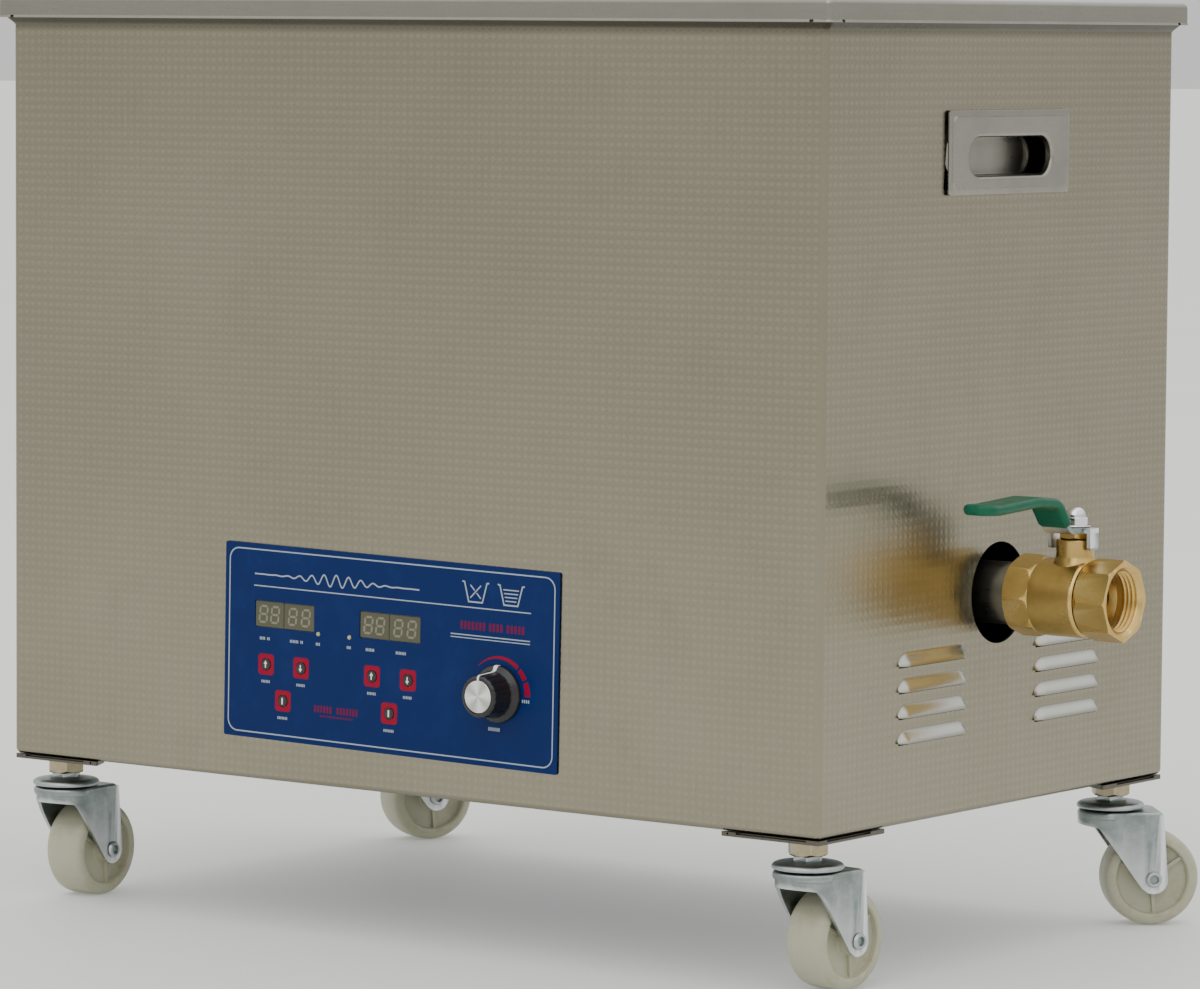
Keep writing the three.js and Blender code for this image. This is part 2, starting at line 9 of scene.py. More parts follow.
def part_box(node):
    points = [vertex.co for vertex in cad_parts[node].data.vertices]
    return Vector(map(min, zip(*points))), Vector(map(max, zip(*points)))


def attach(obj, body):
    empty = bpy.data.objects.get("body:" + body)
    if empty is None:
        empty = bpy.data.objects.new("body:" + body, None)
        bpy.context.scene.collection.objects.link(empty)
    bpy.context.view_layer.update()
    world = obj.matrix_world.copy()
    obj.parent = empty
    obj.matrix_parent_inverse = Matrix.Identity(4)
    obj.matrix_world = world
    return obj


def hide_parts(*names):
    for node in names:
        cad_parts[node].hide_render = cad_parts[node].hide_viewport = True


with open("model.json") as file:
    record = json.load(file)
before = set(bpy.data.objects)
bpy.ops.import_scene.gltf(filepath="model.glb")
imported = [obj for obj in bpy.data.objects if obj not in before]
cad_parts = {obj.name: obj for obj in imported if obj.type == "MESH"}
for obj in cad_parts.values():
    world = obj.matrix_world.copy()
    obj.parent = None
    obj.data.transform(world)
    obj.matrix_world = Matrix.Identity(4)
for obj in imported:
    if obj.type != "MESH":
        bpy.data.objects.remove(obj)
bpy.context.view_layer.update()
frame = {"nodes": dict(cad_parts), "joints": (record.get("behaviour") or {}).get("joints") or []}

MM = 0.001
JOINTS = {joint["name"]: joint for joint in frame["joints"]}

# Driving sizes in millimetres, as in the CAD model.
OVERHANG = 6.0          # the rim beyond the cabinet's walls
BASE = 80.0             # the cabinet's underside above the floor
RIM_HEIGHT = 11.5
BASIN = {"width": 500.0, "depth": 300.0, "floor": 240.0, "sheet": 1.2, "corner": 11.0}
PANEL_TILT = 0.85       # degrees, the control panel is stuck on slightly crooked
EMBOSS_PITCH = 4.4


# ------------------------------------------------------------------ places, from the frame

def middle(node):
    low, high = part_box(node)
    return (low + high) / 2


def anchor(joint):
    return Vector(JOINTS[joint]["pos_m"])


RIM_LOW, RIM_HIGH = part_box("tank")
CENTRE = Vector(((RIM_LOW.x + RIM_HIGH.x) / 2, (RIM_LOW.y + RIM_HIGH.y) / 2, 0))
RIM_TOP = RIM_HIGH.z / MM
HALF_WIDTH = (RIM_HIGH.x - RIM_LOW.x) / 2 / MM - OVERHANG
HALF_DEPTH = (RIM_HIGH.y - RIM_LOW.y) / 2 / MM - OVERHANG
FRONT = CENTRE.y - HALF_DEPTH * MM
DRAIN = Vector((0, middle("valve_end").y, middle("valve_end").z))
STEM = anchor("drain_valve")

# Turns for shapes drawn in X and Y that stand up along Z: the first makes them face -Y, the second +X.
FACING_FRONT = Matrix.Rotation(math.pi / 2, 4, "X")
FACING_RIGHT = Matrix(((0, 0, 1, 0), (1, 0, 0, 0), (0, 1, 0, 0), (0, 0, 0, 1)))


# ------------------------------------------------------------------ shapes in millimetres

def fillet(points, closed=True, steps=5):
    """Rounds an outline's corners. A point is (x, y), or (x, y, radius) where the corner is round."""
    rounded = []
    for i, point in enumerate(points):
        radius = point[2] if len(point) > 2 else 0
        if not radius or (not closed and i in (0, len(points) - 1)):
            rounded.append((point[0], point[1]))
            continue
        corner = Vector(point[:2])
        back = (Vector(points[i - 1][:2]) - corner).normalized()
        ahead = (Vector(points[(i + 1) % len(points)][:2]) - corner).normalized()
        half = back.angle(ahead) / 2
        centre = corner + (back + ahead).normalized() * radius / math.sin(half)
        first = corner + back * radius / math.tan(half) - centre
        last = corner + ahead * radius / math.tan(half) - centre
        turn = first.angle(last)
        for step in range(steps + 1):
            share = step / steps
            spoke = first * math.sin((1 - share) * turn) + last * math.sin(share * turn)
            rounded.append(tuple(centre + spoke / math.sin(turn)))
    return rounded


def bridge(shape, low, high):
    """Faces between two rings of vertices, either of which may be a single point."""
    count = max(len(low), len(high))
    for i in range(count):
        corners = [low[i % len(low)], low[(i + 1) % len(low)], high[(i + 1) % len(high)],
                   high[i % len(high)]]
        unique = [corner for n, corner in enumerate(corners) if corner not in corners[:n]]
        if len(unique) > 2:
            shape.faces.new(unique)


def loft(loops, ring=False):
    """A skin over loops of points. It closes on itself as a ring, or else its ends are capped."""
    shape = bmesh.new()
    rings = [[shape.verts.new(point) for point in loop] for loop in loops]
    for low, high in zip(rings, rings[1:]):
        bridge(shape, low, high)
    if ring:
        bridge(shape, rings[-1], rings[0])
    else:
        for end in (rings[0], rings[-1]):
            if len(end) > 2:
                shape.faces.new(end)
    return shape


def circle(radius, height, sides):
    if radius < 1e-6:
        return [(0, 0, height)]
    turns = [2 * math.pi * i / sides for i in range(sides)]
    return [(radius * math.cos(turn), radius * math.sin(turn), height) for turn in turns]


def lathe(profile, sides=64, ring=False):
    """A solid of revolution about Z from (radius, height) points."""
    return loft([circle(radius, height, sides) for radius, height in profile], ring=ring)


def prism(outline, low, high):
    return loft([[(x, y, low) for x, y in outline], [(x, y, high) for x, y in outline]])


def hexagon(flats, radius=0.0):
    reach = flats / math.sqrt(3)
    turns = [math.radians(60 * i) for i in range(6)]
    points = [(reach * math.cos(turn), reach * math.sin(turn), radius) for turn in turns]
    return fillet(points, steps=2)


def rectangle(width, height, radius=0.0, x=0.0, y=0.0, steps=5):
    corners = [(x + width / 2, y + height / 2), (x - width / 2, y + height / 2),
               (x - width / 2, y - height / 2), (x + width / 2, y - height / 2)]
    return fillet([(*corner, radius) for corner in corners], steps=steps)


def rod(radius, low, high, sides):
    return lathe([(0, low), (radius, low), (radius, high), (0, high)], sides)


def block(x, y, z):
    return prism([(x[0], y[0]), (x[1], y[0]), (x[1], y[1]), (x[0], y[1])], z[0], z[1])


def joined(shapes):
    """Several shapes as one, without cutting them where they meet."""
    whole = bmesh.new()
    for shape in shapes:
        mesh = bpy.data.meshes.new("part")
        shape.to_mesh(mesh)
        shape.free()
        whole.from_mesh(mesh)
        bpy.data.meshes.remove(mesh)
    return whole


def moved(shape, matrix):
    bmesh.ops.transform(shape, matrix=matrix, verts=shape.verts)
    return shape


def shifted(shape, x=0.0, y=0.0, z=0.0):
    return moved(shape, Matrix.Translation((x, y, z)))


def turned(shape, degrees, axis):
    return moved(shape, Matrix.Rotation(math.radians(degrees), 4, axis))


def combine(base, tool, operation):
    """A boolean of two closed shapes."""
    pair = []
    for shape in (base, tool):
        bmesh.ops.remove_doubles(shape, verts=shape.verts, dist=1e-4)
        bmesh.ops.recalc_face_normals(shape, faces=shape.faces)
        mesh = bpy.data.meshes.new("pair")
        shape.to_mesh(mesh)
        shape.free()
        pair.append(bpy.data.objects.new("pair", mesh))
        bpy.context.scene.collection.objects.link(pair[-1])
    step = pair[0].modifiers.new("combine", "BOOLEAN")
    step.operation = operation
    step.solver = "EXACT"
    step.object = pair[1]
    done = pair[0].evaluated_get(bpy.context.evaluated_depsgraph_get())
    mesh = bpy.data.meshes.new_from_object(done)
    result = bmesh.new()
    result.from_mesh(mesh)
    for obj in pair:
        bpy.data.objects.remove(obj)
    bpy.data.meshes.remove(mesh)
    return result


def cut(base, *tools):
    return combine(base, joined(tools), "DIFFERENCE")


def weld(base, *others):
    for other in others:
        base = combine(base, other, "UNION")
    return base


def piece(name, shape, material, body, slot, at=(0, 0, 0), turn=None, replaces=(), bevel=0.0, sharp=32):
    """Makes an object from a shape and a named material, and lets it ride on a CAD body."""
    bmesh.ops.remove_doubles(shape, verts=shape.verts, dist=1e-4)
    bmesh.ops.recalc_face_normals(shape, faces=shape.faces)
    bmesh.ops.scale(shape, vec=(MM, MM, MM), verts=shape.verts)
    mesh = bpy.data.meshes.new(name)
    shape.to_mesh(mesh)
    shape.free()
    mesh.shade_smooth()
    mesh.set_sharp_from_angle(angle=math.radians(sharp))
    mesh.materials.append(MATERIALS[material])
    obj = bpy.data.objects.new(name, mesh)
    bpy.context.scene.collection.objects.link(obj)
    obj.matrix_world = Matrix.Translation(at) @ (turn or Matrix.Identity(4))
    if bevel:
        step = obj.modifiers.new("bevel", "BEVEL")
        step.width = bevel * MM
        step.segments = 2
        step.limit_method = "ANGLE"
        step.angle_limit = math.radians(sharp)
    obj.modifiers.new("normals", "WEIGHTED_NORMAL").keep_sharp = True
    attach(obj, body)
    if replaces:
        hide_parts(*replaces)
    return obj


# ------------------------------------------------------------------ material nodes

def add(tree, kind, *links, **settings):
    """Adds a shader node, sets its properties, and feeds its inputs in order with sockets or values."""
    node = tree.nodes.new("ShaderNode" + kind)
    for key, value in settings.items():
        setattr(node, key, value)
    for socket, value in zip(node.inputs, links):
        if isinstance(value, bpy.types.NodeSocket):
            tree.links.new(value, socket)
        elif value is not None:
            socket.default_value = value
    return node


def maths(tree, operation, first, second=0.0):
    return add(tree, "Math", first, second, operation=operation).outputs[0]


def place(tree, stretch=(1, 1, 1)):
    """Object coordinates, stretched."""
    coordinates = add(tree, "TexCoord").outputs["Object"]
    return add(tree, "Mapping", coordinates, None, None, stretch).outputs[0]


def axes(tree, source="Object"):
    """X, Y and Z of the object coordinates, or of another output of the same node."""
    return add(tree, "SeparateXYZ", add(tree, "TexCoord").outputs[source]).outputs


def noise(tree, scale, detail=3.0, stretch=(1, 1, 1), roughness=0.5):
    node = add(tree, "TexNoise")
    tree.links.new(place(tree, stretch), node.inputs["Vector"])
    node.inputs["Scale"].default_value = scale
    node.inputs["Detail"].default_value = detail
    node.inputs["Roughness"].default_value = roughness
    return node.outputs["Fac"]


def spread(tree, value, low, high, start=0.0, end=1.0):
    """Maps a value from one range to another, clamped."""
    return add(tree, "MapRange", value, low, high, start, end).outputs[0]


def tint(tree, share, first, second):
    node = add(tree, "Mix", data_type="RGBA")
    tree.links.new(share, node.inputs["Factor"])
    for name, colour in (("A", first), ("B", second)):
        socket = [s for s in node.inputs if s.name == name and s.type == "RGBA"][0]
        if isinstance(colour, bpy.types.NodeSocket):
            tree.links.new(colour, socket)
        else:
            socket.default_value = (*colour, 1)
    return [s for s in node.outputs if s.type == "RGBA"][0]


def bump(tree, height, distance, under=None):
    """A bump of the given height in millimetres, over another one if there is one."""
    node = add(tree, "Bump")
    node.inputs["Strength"].default_value = 1.0
    node.inputs["Distance"].default_value = distance * MM
    tree.links.new(height, node.inputs["Height"])
    if under:
        tree.links.new(under, node.inputs["Normal"])
    return node.outputs["Normal"]


def edge_mask(tree, low=0.52, high=0.6):
    """How much a spot is on a convex edge, from 0 to 1."""
    return spread(tree, add(tree, "NewGeometry").outputs["Pointiness"], low, high)


def surface(name, metallic=0.0, roughness=0.5, **sockets):
    """A material, its node tree and its shader, with the shader's fixed sockets set."""
    material = bpy.data.materials.new(name)
    material.use_nodes = True
    tree = material.node_tree
    shader = tree.nodes["Principled BSDF"]
    shader.inputs["Metallic"].default_value = metallic
    shader.inputs["Roughness"].default_value = roughness
    for key, value in sockets.items():
        shader.inputs[key.replace("_", " ")].default_value = value
    return material, tree, shader


def feed(tree, shader, colour=None, roughness=None, normal=None):
    for key, value in (("Base Color", colour), ("Roughness", roughness), ("Normal", normal)):
        if value is not None:
            tree.links.new(value, shader.inputs[key])


# ------------------------------------------------------------------ materials

def emboss(tree, pitch):
    """The pressed pattern: small raised lozenges on a square grid, across the wall and up it."""
    parts = axes(tree)
    facing = axes(tree, "Normal")
    sideways = maths(tree, "GREATER_THAN", maths(tree, "ABSOLUTE", facing[0]), 0.7)
    along_y = maths(tree, "MULTIPLY", parts[1], sideways)
    along_x = maths(tree, "MULTIPLY", parts[0], maths(tree, "SUBTRACT", 1.0, sideways))
    turns = 2 * math.pi / (pitch * MM)
    across = maths(tree, "COSINE", maths(tree, "MULTIPLY", maths(tree, "ADD", along_x, along_y), turns))
    up = maths(tree, "COSINE", maths(tree, "MULTIPLY", parts[2], turns))
    flat = maths(tree, "MAXIMUM", maths(tree, "ABSOLUTE", facing[0]), maths(tree, "ABSOLUTE", facing[1]))
    raised = spread(tree, maths(tree, "ADD", across, up), -0.2, 1.5)
    return maths(tree, "MULTIPLY", raised, maths(tree, "GREATER_THAN", flat, 0.985))


def embossed_steel():
    material, tree, shader = surface("embossed_steel", metallic=1.0)
    grain = noise(tree, 900, 2, stretch=(1, 1, 0.04))
    haze = noise(tree, 5, 4)
    smudge = noise(tree, 22, 5, roughness=0.7)
    lozenge = emboss(tree, EMBOSS_PITCH)
    worn = tint(tree, spread(tree, haze, 0.35, 0.7), (0.255, 0.236, 0.170), (0.290, 0.269, 0.197))
    dull = tint(tree, spread(tree, smudge, 0.55, 0.8, 0, 0.35), worn, (0.215, 0.198, 0.142))
    colour = tint(tree, spread(tree, lozenge, 0, 1, 0, 0.2), dull, (0.40, 0.38, 0.31))
    # painted shade: a near-black band on the wall just under the rim's lip stands for the shadow of the
    # rim's overhang
    height = axes(tree)[2]
    lip = (RIM_TOP - RIM_HEIGHT) * MM
    painted_rim_shadow = spread(tree, height, lip - 7 * MM, lip - 2 * MM, 0, 0.85)
    colour = tint(tree, painted_rim_shadow, colour, (0.03, 0.028, 0.022))
    # painted highlight: faces that turn upwards, the louvre hoods' tops most of all, are painted lighter, as
    # if lit from above
    lean = axes(tree, "Normal")[2]
    colour = tint(tree, spread(tree, lean, 0.1, 0.7, 0, 1), colour, (0.60, 0.61, 0.585))
    rough = maths(tree, "ADD", spread(tree, smudge, 0.3, 0.75, 0.2, 0.27),
                  spread(tree, grain, 0.3, 0.7, 0, 0.04))
    pressed = bump(tree, lozenge, 0.035)
    feed(tree, shader, colour, rough, bump(tree, grain, 0.008, under=pressed))
    return material


def plain_steel(name, colour, roughness, grain_stretch=(0.05, 1, 1), dirt=0.25):
    """Brushed sheet or bar, with a grain that runs along one axis and faint handling marks."""
    material, tree, shader = surface(name, metallic=1.0)
    grain = noise(tree, 700, 3, stretch=grain_stretch)
    smudge = noise(tree, 30, 5, roughness=0.65)
    darker = tuple(part * 0.72 for part in colour)
    feed(
        tree, shader,
        tint(tree, spread(tree, smudge, 0.45, 0.8, 0, dirt * 2), colour, darker),
        maths(tree, "ADD", spread(tree, smudge, 0.3, 0.8, roughness, roughness + 0.14),
              spread(tree, grain, 0.3, 0.7, 0, 0.06)),
        bump(tree, grain, 0.012),
    )
    return material


def tank_steel():
    """Brushed sheet, bright in the washed basin and duller on the handled rim round it."""
    material, tree, shader = surface("tank_steel", metallic=1.0)
    grain = noise(tree, 700, 3, stretch=(0.06, 0.06, 1))
    smudge = noise(tree, 30, 5, roughness=0.65)
    parts = axes(tree)
    beyond = [maths(tree, "SUBTRACT", maths(tree, "ABSOLUTE", part), BASIN[size] / 2 * MM)
              for part, size in ((parts[0], "width"), (parts[1], "depth"))]
    rim = spread(tree, maths(tree, "MAXIMUM", *beyond), 0.5 * MM, 3 * MM)
    clean = tint(tree, rim, (0.66, 0.65, 0.61), (0.29, 0.275, 0.235))
    stained = tint(tree, rim, (0.54, 0.53, 0.49), (0.21, 0.20, 0.17))
    feed(
        tree, shader,
        tint(tree, spread(tree, smudge, 0.45, 0.8, 0, 0.5), clean, stained),
        maths(tree, "ADD", spread(tree, smudge, 0.3, 0.8, 0.2, 0.34),
              spread(tree, grain, 0.3, 0.7, 0, 0.06)),
        bump(tree, grain, 0.012),
    )
    return material


def zinc(name, colour, second, roughness=0.3):
    """Bright or passivated zinc plate: mottled tint, soft spangle and duller patches."""
    material, tree, shader = surface(name, metallic=1.0)
    mottle = noise(tree, 130, 4, roughness=0.6)
    spangle = noise(tree, 420, 2)
    patch = spread(tree, noise(tree, 55, 5, roughness=0.7), 0.5, 0.72)
    plated = tint(tree, spread(tree, mottle, 0.35, 0.68), colour, second)
    colour_out = tint(tree, edge_mask(tree, 0.53, 0.62),
                      tint(tree, patch, plated, tuple(c * 0.62 for c in second)),
                      (0.85, 0.86, 0.88))
    rough = maths(tree, "ADD", spread(tree, mottle, 0.3, 0.7, roughness, roughness + 0.15),
                  spread(tree, patch, 0, 1, 0, 0.12))
    feed(tree, shader, colour_out, rough, bump(tree, spangle, 0.02))
    return material


def brass():
    material, tree, shader = surface("brass", metallic=1.0)
    cast = noise(tree, 1400, 2)
    stain = noise(tree, 60, 5, roughness=0.7)
    tone = tint(tree, spread(tree, stain, 0.35, 0.72), (0.66, 0.46, 0.165), (0.52, 0.345, 0.105))
    colour = tint(tree, edge_mask(tree, 0.54, 0.68), tone, (0.80, 0.60, 0.26))
    rough = spread(tree, stain, 0.3, 0.75, 0.24, 0.38)
    feed(tree, shader, colour, rough, bump(tree, cast, 0.02))
    return material


def chrome():
    material, tree, shader = surface("chrome", metallic=1.0)
    wipe = noise(tree, 90, 4)
    feed(tree, shader, tint(tree, wipe, (0.80, 0.80, 0.82), (0.70, 0.70, 0.72)),
         spread(tree, wipe, 0.3, 0.75, 0.05, 0.16), bump(tree, noise(tree, 500, 2), 0.004))
    return material


def vinyl():
    material, tree, shader = surface("green_vinyl", Specular_IOR_Level=0.22)
    dip = noise(tree, 70, 4)
    rub = spread(tree, noise(tree, 25, 6, roughness=0.7), 0.55, 0.8, 0, 0.6)
    colour = tint(tree, rub, tint(tree, dip, (0.0, 0.075, 0.036), (0.0, 0.100, 0.050)), (0.01, 0.14, 0.075))
    feed(tree, shader, colour, spread(tree, dip, 0.3, 0.7, 0.28, 0.42),
         bump(tree, noise(tree, 260, 3), 0.05))
    return material


def film(name, colour, second, roughness=0.42):
    """Screen-printed film: an even tone, a fine orange-peel texture and light scuffs."""
    material, tree, shader = surface(name, Specular_IOR_Level=0.12)
    peel = noise(tree, 1800, 2)
    scuff = spread(tree, noise(tree, 35, 6, roughness=0.75), 0.5, 0.8)
    feed(tree, shader, tint(tree, scuff, colour, second),
         spread(tree, scuff, 0, 1, roughness, roughness + 0.12), bump(tree, peel, 0.006))
    return material


def moulded(name, colour, second, roughness=0.4, grain=420, relief=0.03):
    """Moulded plastic: fine grain, slight tone changes and paler worn edges."""
    material, tree, shader = surface(name)
    tone = tint(tree, noise(tree, 45, 4), colour, second)
    worn = tint(tree, edge_mask(tree, 0.53, 0.66), tone, tuple(min(1, c * 1.5 + 0.02) for c in second))
    feed(tree, shader, worn, spread(tree, noise(tree, 90, 3), 0.3, 0.7, roughness, roughness + 0.12),
         bump(tree, noise(tree, grain, 3), relief))
    return material


def nylon():
    """Ivory wheels with rolled-in brown dirt on the tread and in the web."""
    material, tree, shader = surface("ivory_nylon", Subsurface_Weight=0.15, Subsurface_Scale=0.002)
    dirt = noise(tree, 60, 6, roughness=0.7)
    streak = noise(tree, 120, 4, stretch=(1, 1, 0.12))
    ivory = tint(tree, noise(tree, 30, 4), (0.39, 0.385, 0.27), (0.47, 0.465, 0.345))
    soiled = tint(tree, spread(tree, dirt, 0.5, 0.78, 0, 0.65), ivory, (0.30, 0.235, 0.13))
    marked = tint(tree, spread(tree, streak, 0.55, 0.75, 0, 0.45), soiled, (0.34, 0.29, 0.19))
    feed(tree, shader, marked, spread(tree, dirt, 0.3, 0.8, 0.38, 0.6), bump(tree, dirt, 0.08))
    return material


def spun():
    """A spun disc: fine rings round its middle and pale spokes of light."""
    material, tree, shader = surface("spun_aluminium", metallic=1.0)
    parts = axes(tree)
    radius = maths(tree, "SQRT", maths(tree, "ADD", maths(tree, "POWER", parts[0], 2.0),
                                       maths(tree, "POWER", parts[1], 2.0)))
    rings = maths(tree, "SINE", maths(tree, "MULTIPLY", radius, 2 * math.pi / (0.35 * MM)))
    angle = maths(tree, "ARCTAN2", parts[1], parts[0])
    spokes = maths(tree, "SINE", maths(tree, "ADD", maths(tree, "MULTIPLY", angle, 4.0), 0.6))
    colour = tint(tree, spread(tree, spokes, -1, 1), (0.52, 0.52, 0.49), (0.86, 0.86, 0.82))
    feed(tree, shader, colour, spread(tree, rings, -1, 1, 0.22, 0.34), bump(tree, rings, 0.01))
    return material


def circuit(name, colour, second):
    material, tree, shader = surface(name, roughness=0.5)
    tracks = add(tree, "TexBrick")
    tree.links.new(place(tree), tracks.inputs["Vector"])
    for key, value in (("Scale", 160.0), ("Mortar Size", 0.08), ("Color1", (*colour, 1)),
                       ("Color2", (*colour, 1)),
                       ("Mortar", (*second, 1))):
        tracks.inputs[key].default_value = value
    feed(tree, shader, tracks.outputs["Color"], spread(tree, noise(tree, 200), 0, 1, 0.35, 0.6),
         bump(tree, tracks.outputs["Fac"], 0.03))
    return material


MATERIALS = {
    "housing": embossed_steel(),
    "tank": tank_steel(),
    "bright": plain_steel("bright_steel", (0.30, 0.29, 0.25), 0.22, dirt=0.3),
    # painted shade: the corner plates' steel is made near black, so that their edges read as the shadow line
    # under the cabinet
    "plate": plain_steel("plate_steel_shade_dark", (0.13, 0.12, 0.10), 0.28),
    "zinc": zinc("zinc_plate", (0.24, 0.28, 0.275), (0.37, 0.415, 0.40)),
    "yellow_zinc": zinc("yellow_zinc", (0.36, 0.30, 0.18), (0.50, 0.44, 0.30), 0.25),
    "brass": brass(),
    "chrome": chrome(),
    "vinyl": vinyl(),
    "blue": film("panel_blue", (0.003, 0.016, 0.092), (0.006, 0.024, 0.120)),
    "white": film("print_white", (0.33, 0.38, 0.43), (0.28, 0.33, 0.39)),
    "red": film("print_red", (0.28, 0.003, 0.024), (0.22, 0.004, 0.03)),
    "dim_red": film("print_dim_red", (0.15, 0.006, 0.045), (0.20, 0.008, 0.045)),
    "lens": film("display_lens", (0.095, 0.093, 0.062), (0.115, 0.112, 0.078), 0.22),
    "segment": film("display_segment", (0.21, 0.205, 0.145), (0.25, 0.24, 0.18), 0.25),
    "lamp": film("lamp_lens", (0.40, 0.42, 0.24), (0.48, 0.48, 0.3), 0.2),
    "knob": moulded("knob_black", (0.008, 0.009, 0.009), (0.014, 0.014, 0.014), 0.24, 900, 0.008),
    "black": moulded("black_plastic", (0.012, 0.012, 0.013), (0.022, 0.022, 0.022), 0.4),
    "pointer": film("pointer_white", (0.80, 0.80, 0.76), (0.70, 0.70, 0.66)),
    "nylon": nylon(),
    "spun": spun(),
    "board": circuit("circuit_board", (0.012, 0.11, 0.045), (0.03, 0.20, 0.09)),
    "ceramic": moulded("transducer_ceramic", (0.42, 0.38, 0.28), (0.50, 0.46, 0.36), 0.5),
    "alloy": plain_steel("transducer_alloy", (0.62, 0.62, 0.61), 0.3, grain_stretch=(1, 1, 0.1)),
    "silicone": moulded("silicone_mat", (0.46, 0.12, 0.035), (0.52, 0.16, 0.05), 0.5, 600, 0.15),
    "copper": plain_steel("copper_wire", (0.62, 0.26, 0.12), 0.3),
}
SIDES = {"right": (1, FACING_RIGHT), "left": (-1, Matrix.Rotation(math.pi, 4, "Z") @ FACING_RIGHT)}
CORNERS = {"front_left": (-1, -1), "front_right": (1, -1), "back_right": (1, 1), "back_left": (-1, 1)}


# ------------------------------------------------------------------ tank and housing

def wall_loop(outward, height, radius, half_width=HALF_WIDTH, half_depth=HALF_DEPTH):
    """A rounded rectangle that runs outside a wall of the given half sizes."""
    outline = rectangle(2 * (half_width + outward), 2 * (half_depth + outward), radius)
    return [(x, y, height) for x, y in outline]


def basin_loop(outward, height):
    return wall_loop(outward, height, BASIN["corner"] + outward, BASIN["width"] / 2, BASIN["depth"] / 2)


def quarter(steps=5):
    """Sine and cosine pairs round a quarter turn."""
    return [(math.sin(a), math.cos(a)) for a in (math.pi / 2 * i / steps for i in range(steps + 1))]


def tank_shell():
    low = RIM_TOP - RIM_HEIGHT
    floor, sheet = BASIN["floor"], BASIN["sheet"]
    dish, edge, mouth = 8.0, 2.8, 2.5
    loops = [basin_loop(-dish + dish * s, floor + dish - dish * c) for s, c in quarter()]
    loops += [basin_loop(mouth * (1 - c), RIM_TOP - mouth + mouth * s) for s, c in quarter()]
    loops += [
        wall_loop(OVERHANG - edge + edge * s, RIM_TOP - edge + edge * c, 3.4 - edge + edge * s)
        for s, c in quarter()
    ]
    loops += [
        wall_loop(OVERHANG, low + 1.4, 3.4), wall_loop(OVERHANG + 0.35, low + 0.5, 3.6),
        wall_loop(OVERHANG + 0.2, low, 3.5), wall_loop(OVERHANG - 0.9, low, 2.6),
        wall_loop(OVERHANG - sheet, low + 1.2, 2.4), wall_loop(OVERHANG - sheet, RIM_TOP - edge, 2.4),
        wall_loop(OVERHANG - edge, RIM_TOP - sheet, 1.2),
    ]
    outer = dish + sheet
    loops += [basin_loop(sheet, RIM_TOP - sheet - 1.5)]
    loops += [basin_loop(sheet - outer + outer * c, floor + dish - outer * s) for s, c in quarter()]
    return loft(loops)


def rim_weld(x, y):
    """The ground weld down a corner of the rim."""
    low = RIM_TOP - RIM_HEIGHT
    profile = [(0, low + 0.3), (1.0, low + 0.6), (1.15, low + 3), (1.05, RIM_TOP - 3.4),
               (0.5, RIM_TOP - 2.2), (0, RIM_TOP - 2)]
    reach = OVERHANG - 3.4 + 3.4 / math.sqrt(2) - 0.7
    return shifted(lathe(profile, 12), x * (HALF_WIDTH + reach), y * (HALF_DEPTH + reach))


def rim_notches():
    low = RIM_TOP - RIM_HEIGHT
    notches = []
    for x, y in CORNERS.values():
        across, back = x * (HALF_WIDTH - 5), y * (HALF_DEPTH - 5)
        notches.append(block((across - 1.2, across + 1.2),
                             sorted((y * (HALF_DEPTH + 3), y * (HALF_DEPTH + 9))), (low - 1, low + 1.3)))
        notches.append(block(sorted((x * (HALF_WIDTH + 3), x * (HALF_WIDTH + 9))), (back - 1.2, back + 1.2),
                             (low - 1, low + 1.3)))
    return notches


def housing_sheet():
    sheet, bend, flange = 1.5, 3.0, 12.0
    neck, lip = RIM_TOP - RIM_HEIGHT - 4.0, RIM_TOP - 1.5
    loops = [wall_loop(-flange, BASE, 1.5)]
    loops += [wall_loop(-bend + bend * s, BASE + bend - bend * c, max(0.3, bend * s)) for s, c in quarter()]
    loops += [
        wall_loop(0, neck, 3), wall_loop(0.6, neck + 1, 3.3), wall_loop(3.3, neck + 3.6, 4.4),
        wall_loop(3.9, neck + 5, 4.6),
        wall_loop(3.9, lip, 4.6), wall_loop(2.8, lip, 3.6), wall_loop(2.8, neck + 5.4, 3.6),
        wall_loop(-sheet, neck + 0.8, 1.6),
        wall_loop(-sheet, BASE + bend, 1.6), wall_loop(-bend, BASE + sheet, 1.5),
        wall_loop(-flange, BASE + sheet, 1.5),
    ]
    return loft(loops, ring=True)


LOUVRE = {"length": 62.2, "middle": 63.4, "first": 121.0, "pitch": 12.9, "rows": 4, "tall": 7.2,
          "proud": 3.7}


def louvre(inset, sunk):
    """The skin of a pressed hood along X, its open edge at y = 0. The inset one is the space under it."""
    half = LOUVRE["length"] / 2 - inset
    tall, proud = LOUVRE["tall"] - inset, LOUVRE["proud"] - inset
    rounding = tall * 1.1
    stations = [(-half + rounding * (1 - c), s) for s, c in quarter(6)][1:]
    stations += [(-x, size) for x, size in reversed(stations)]
    hood = [(u, 1 - 0.35 * u - 0.65 * (3 - 2 * u) * u * u) for u in (i / 8 for i in range(9))]
    loops = []
    for x, size in stations:
        arc = [(x, tall * rise * size, proud * out * size) for rise, out in hood]
        loops.append([(x, -sunk, -4 if inset else -0.9), (x, -sunk, proud * size),
                      *arc[1 if not sunk else 0:],
                      (x, tall * size * 0.98, -4 if inset else -0.9)])
    return loft(loops)


def louvres(inset, sunk):
    shapes = []
    for sign, turn in SIDES.values():
        for column in (-1, 1):
            for row in range(LOUVRE["rows"]):
                hood = moved(louvre(inset, sunk), turn)
                shapes.append(shifted(
                    hood, sign * HALF_WIDTH, column * LOUVRE["middle"],
                    LOUVRE["first"] + row * LOUVRE["pitch"]
                ))
    return shapes


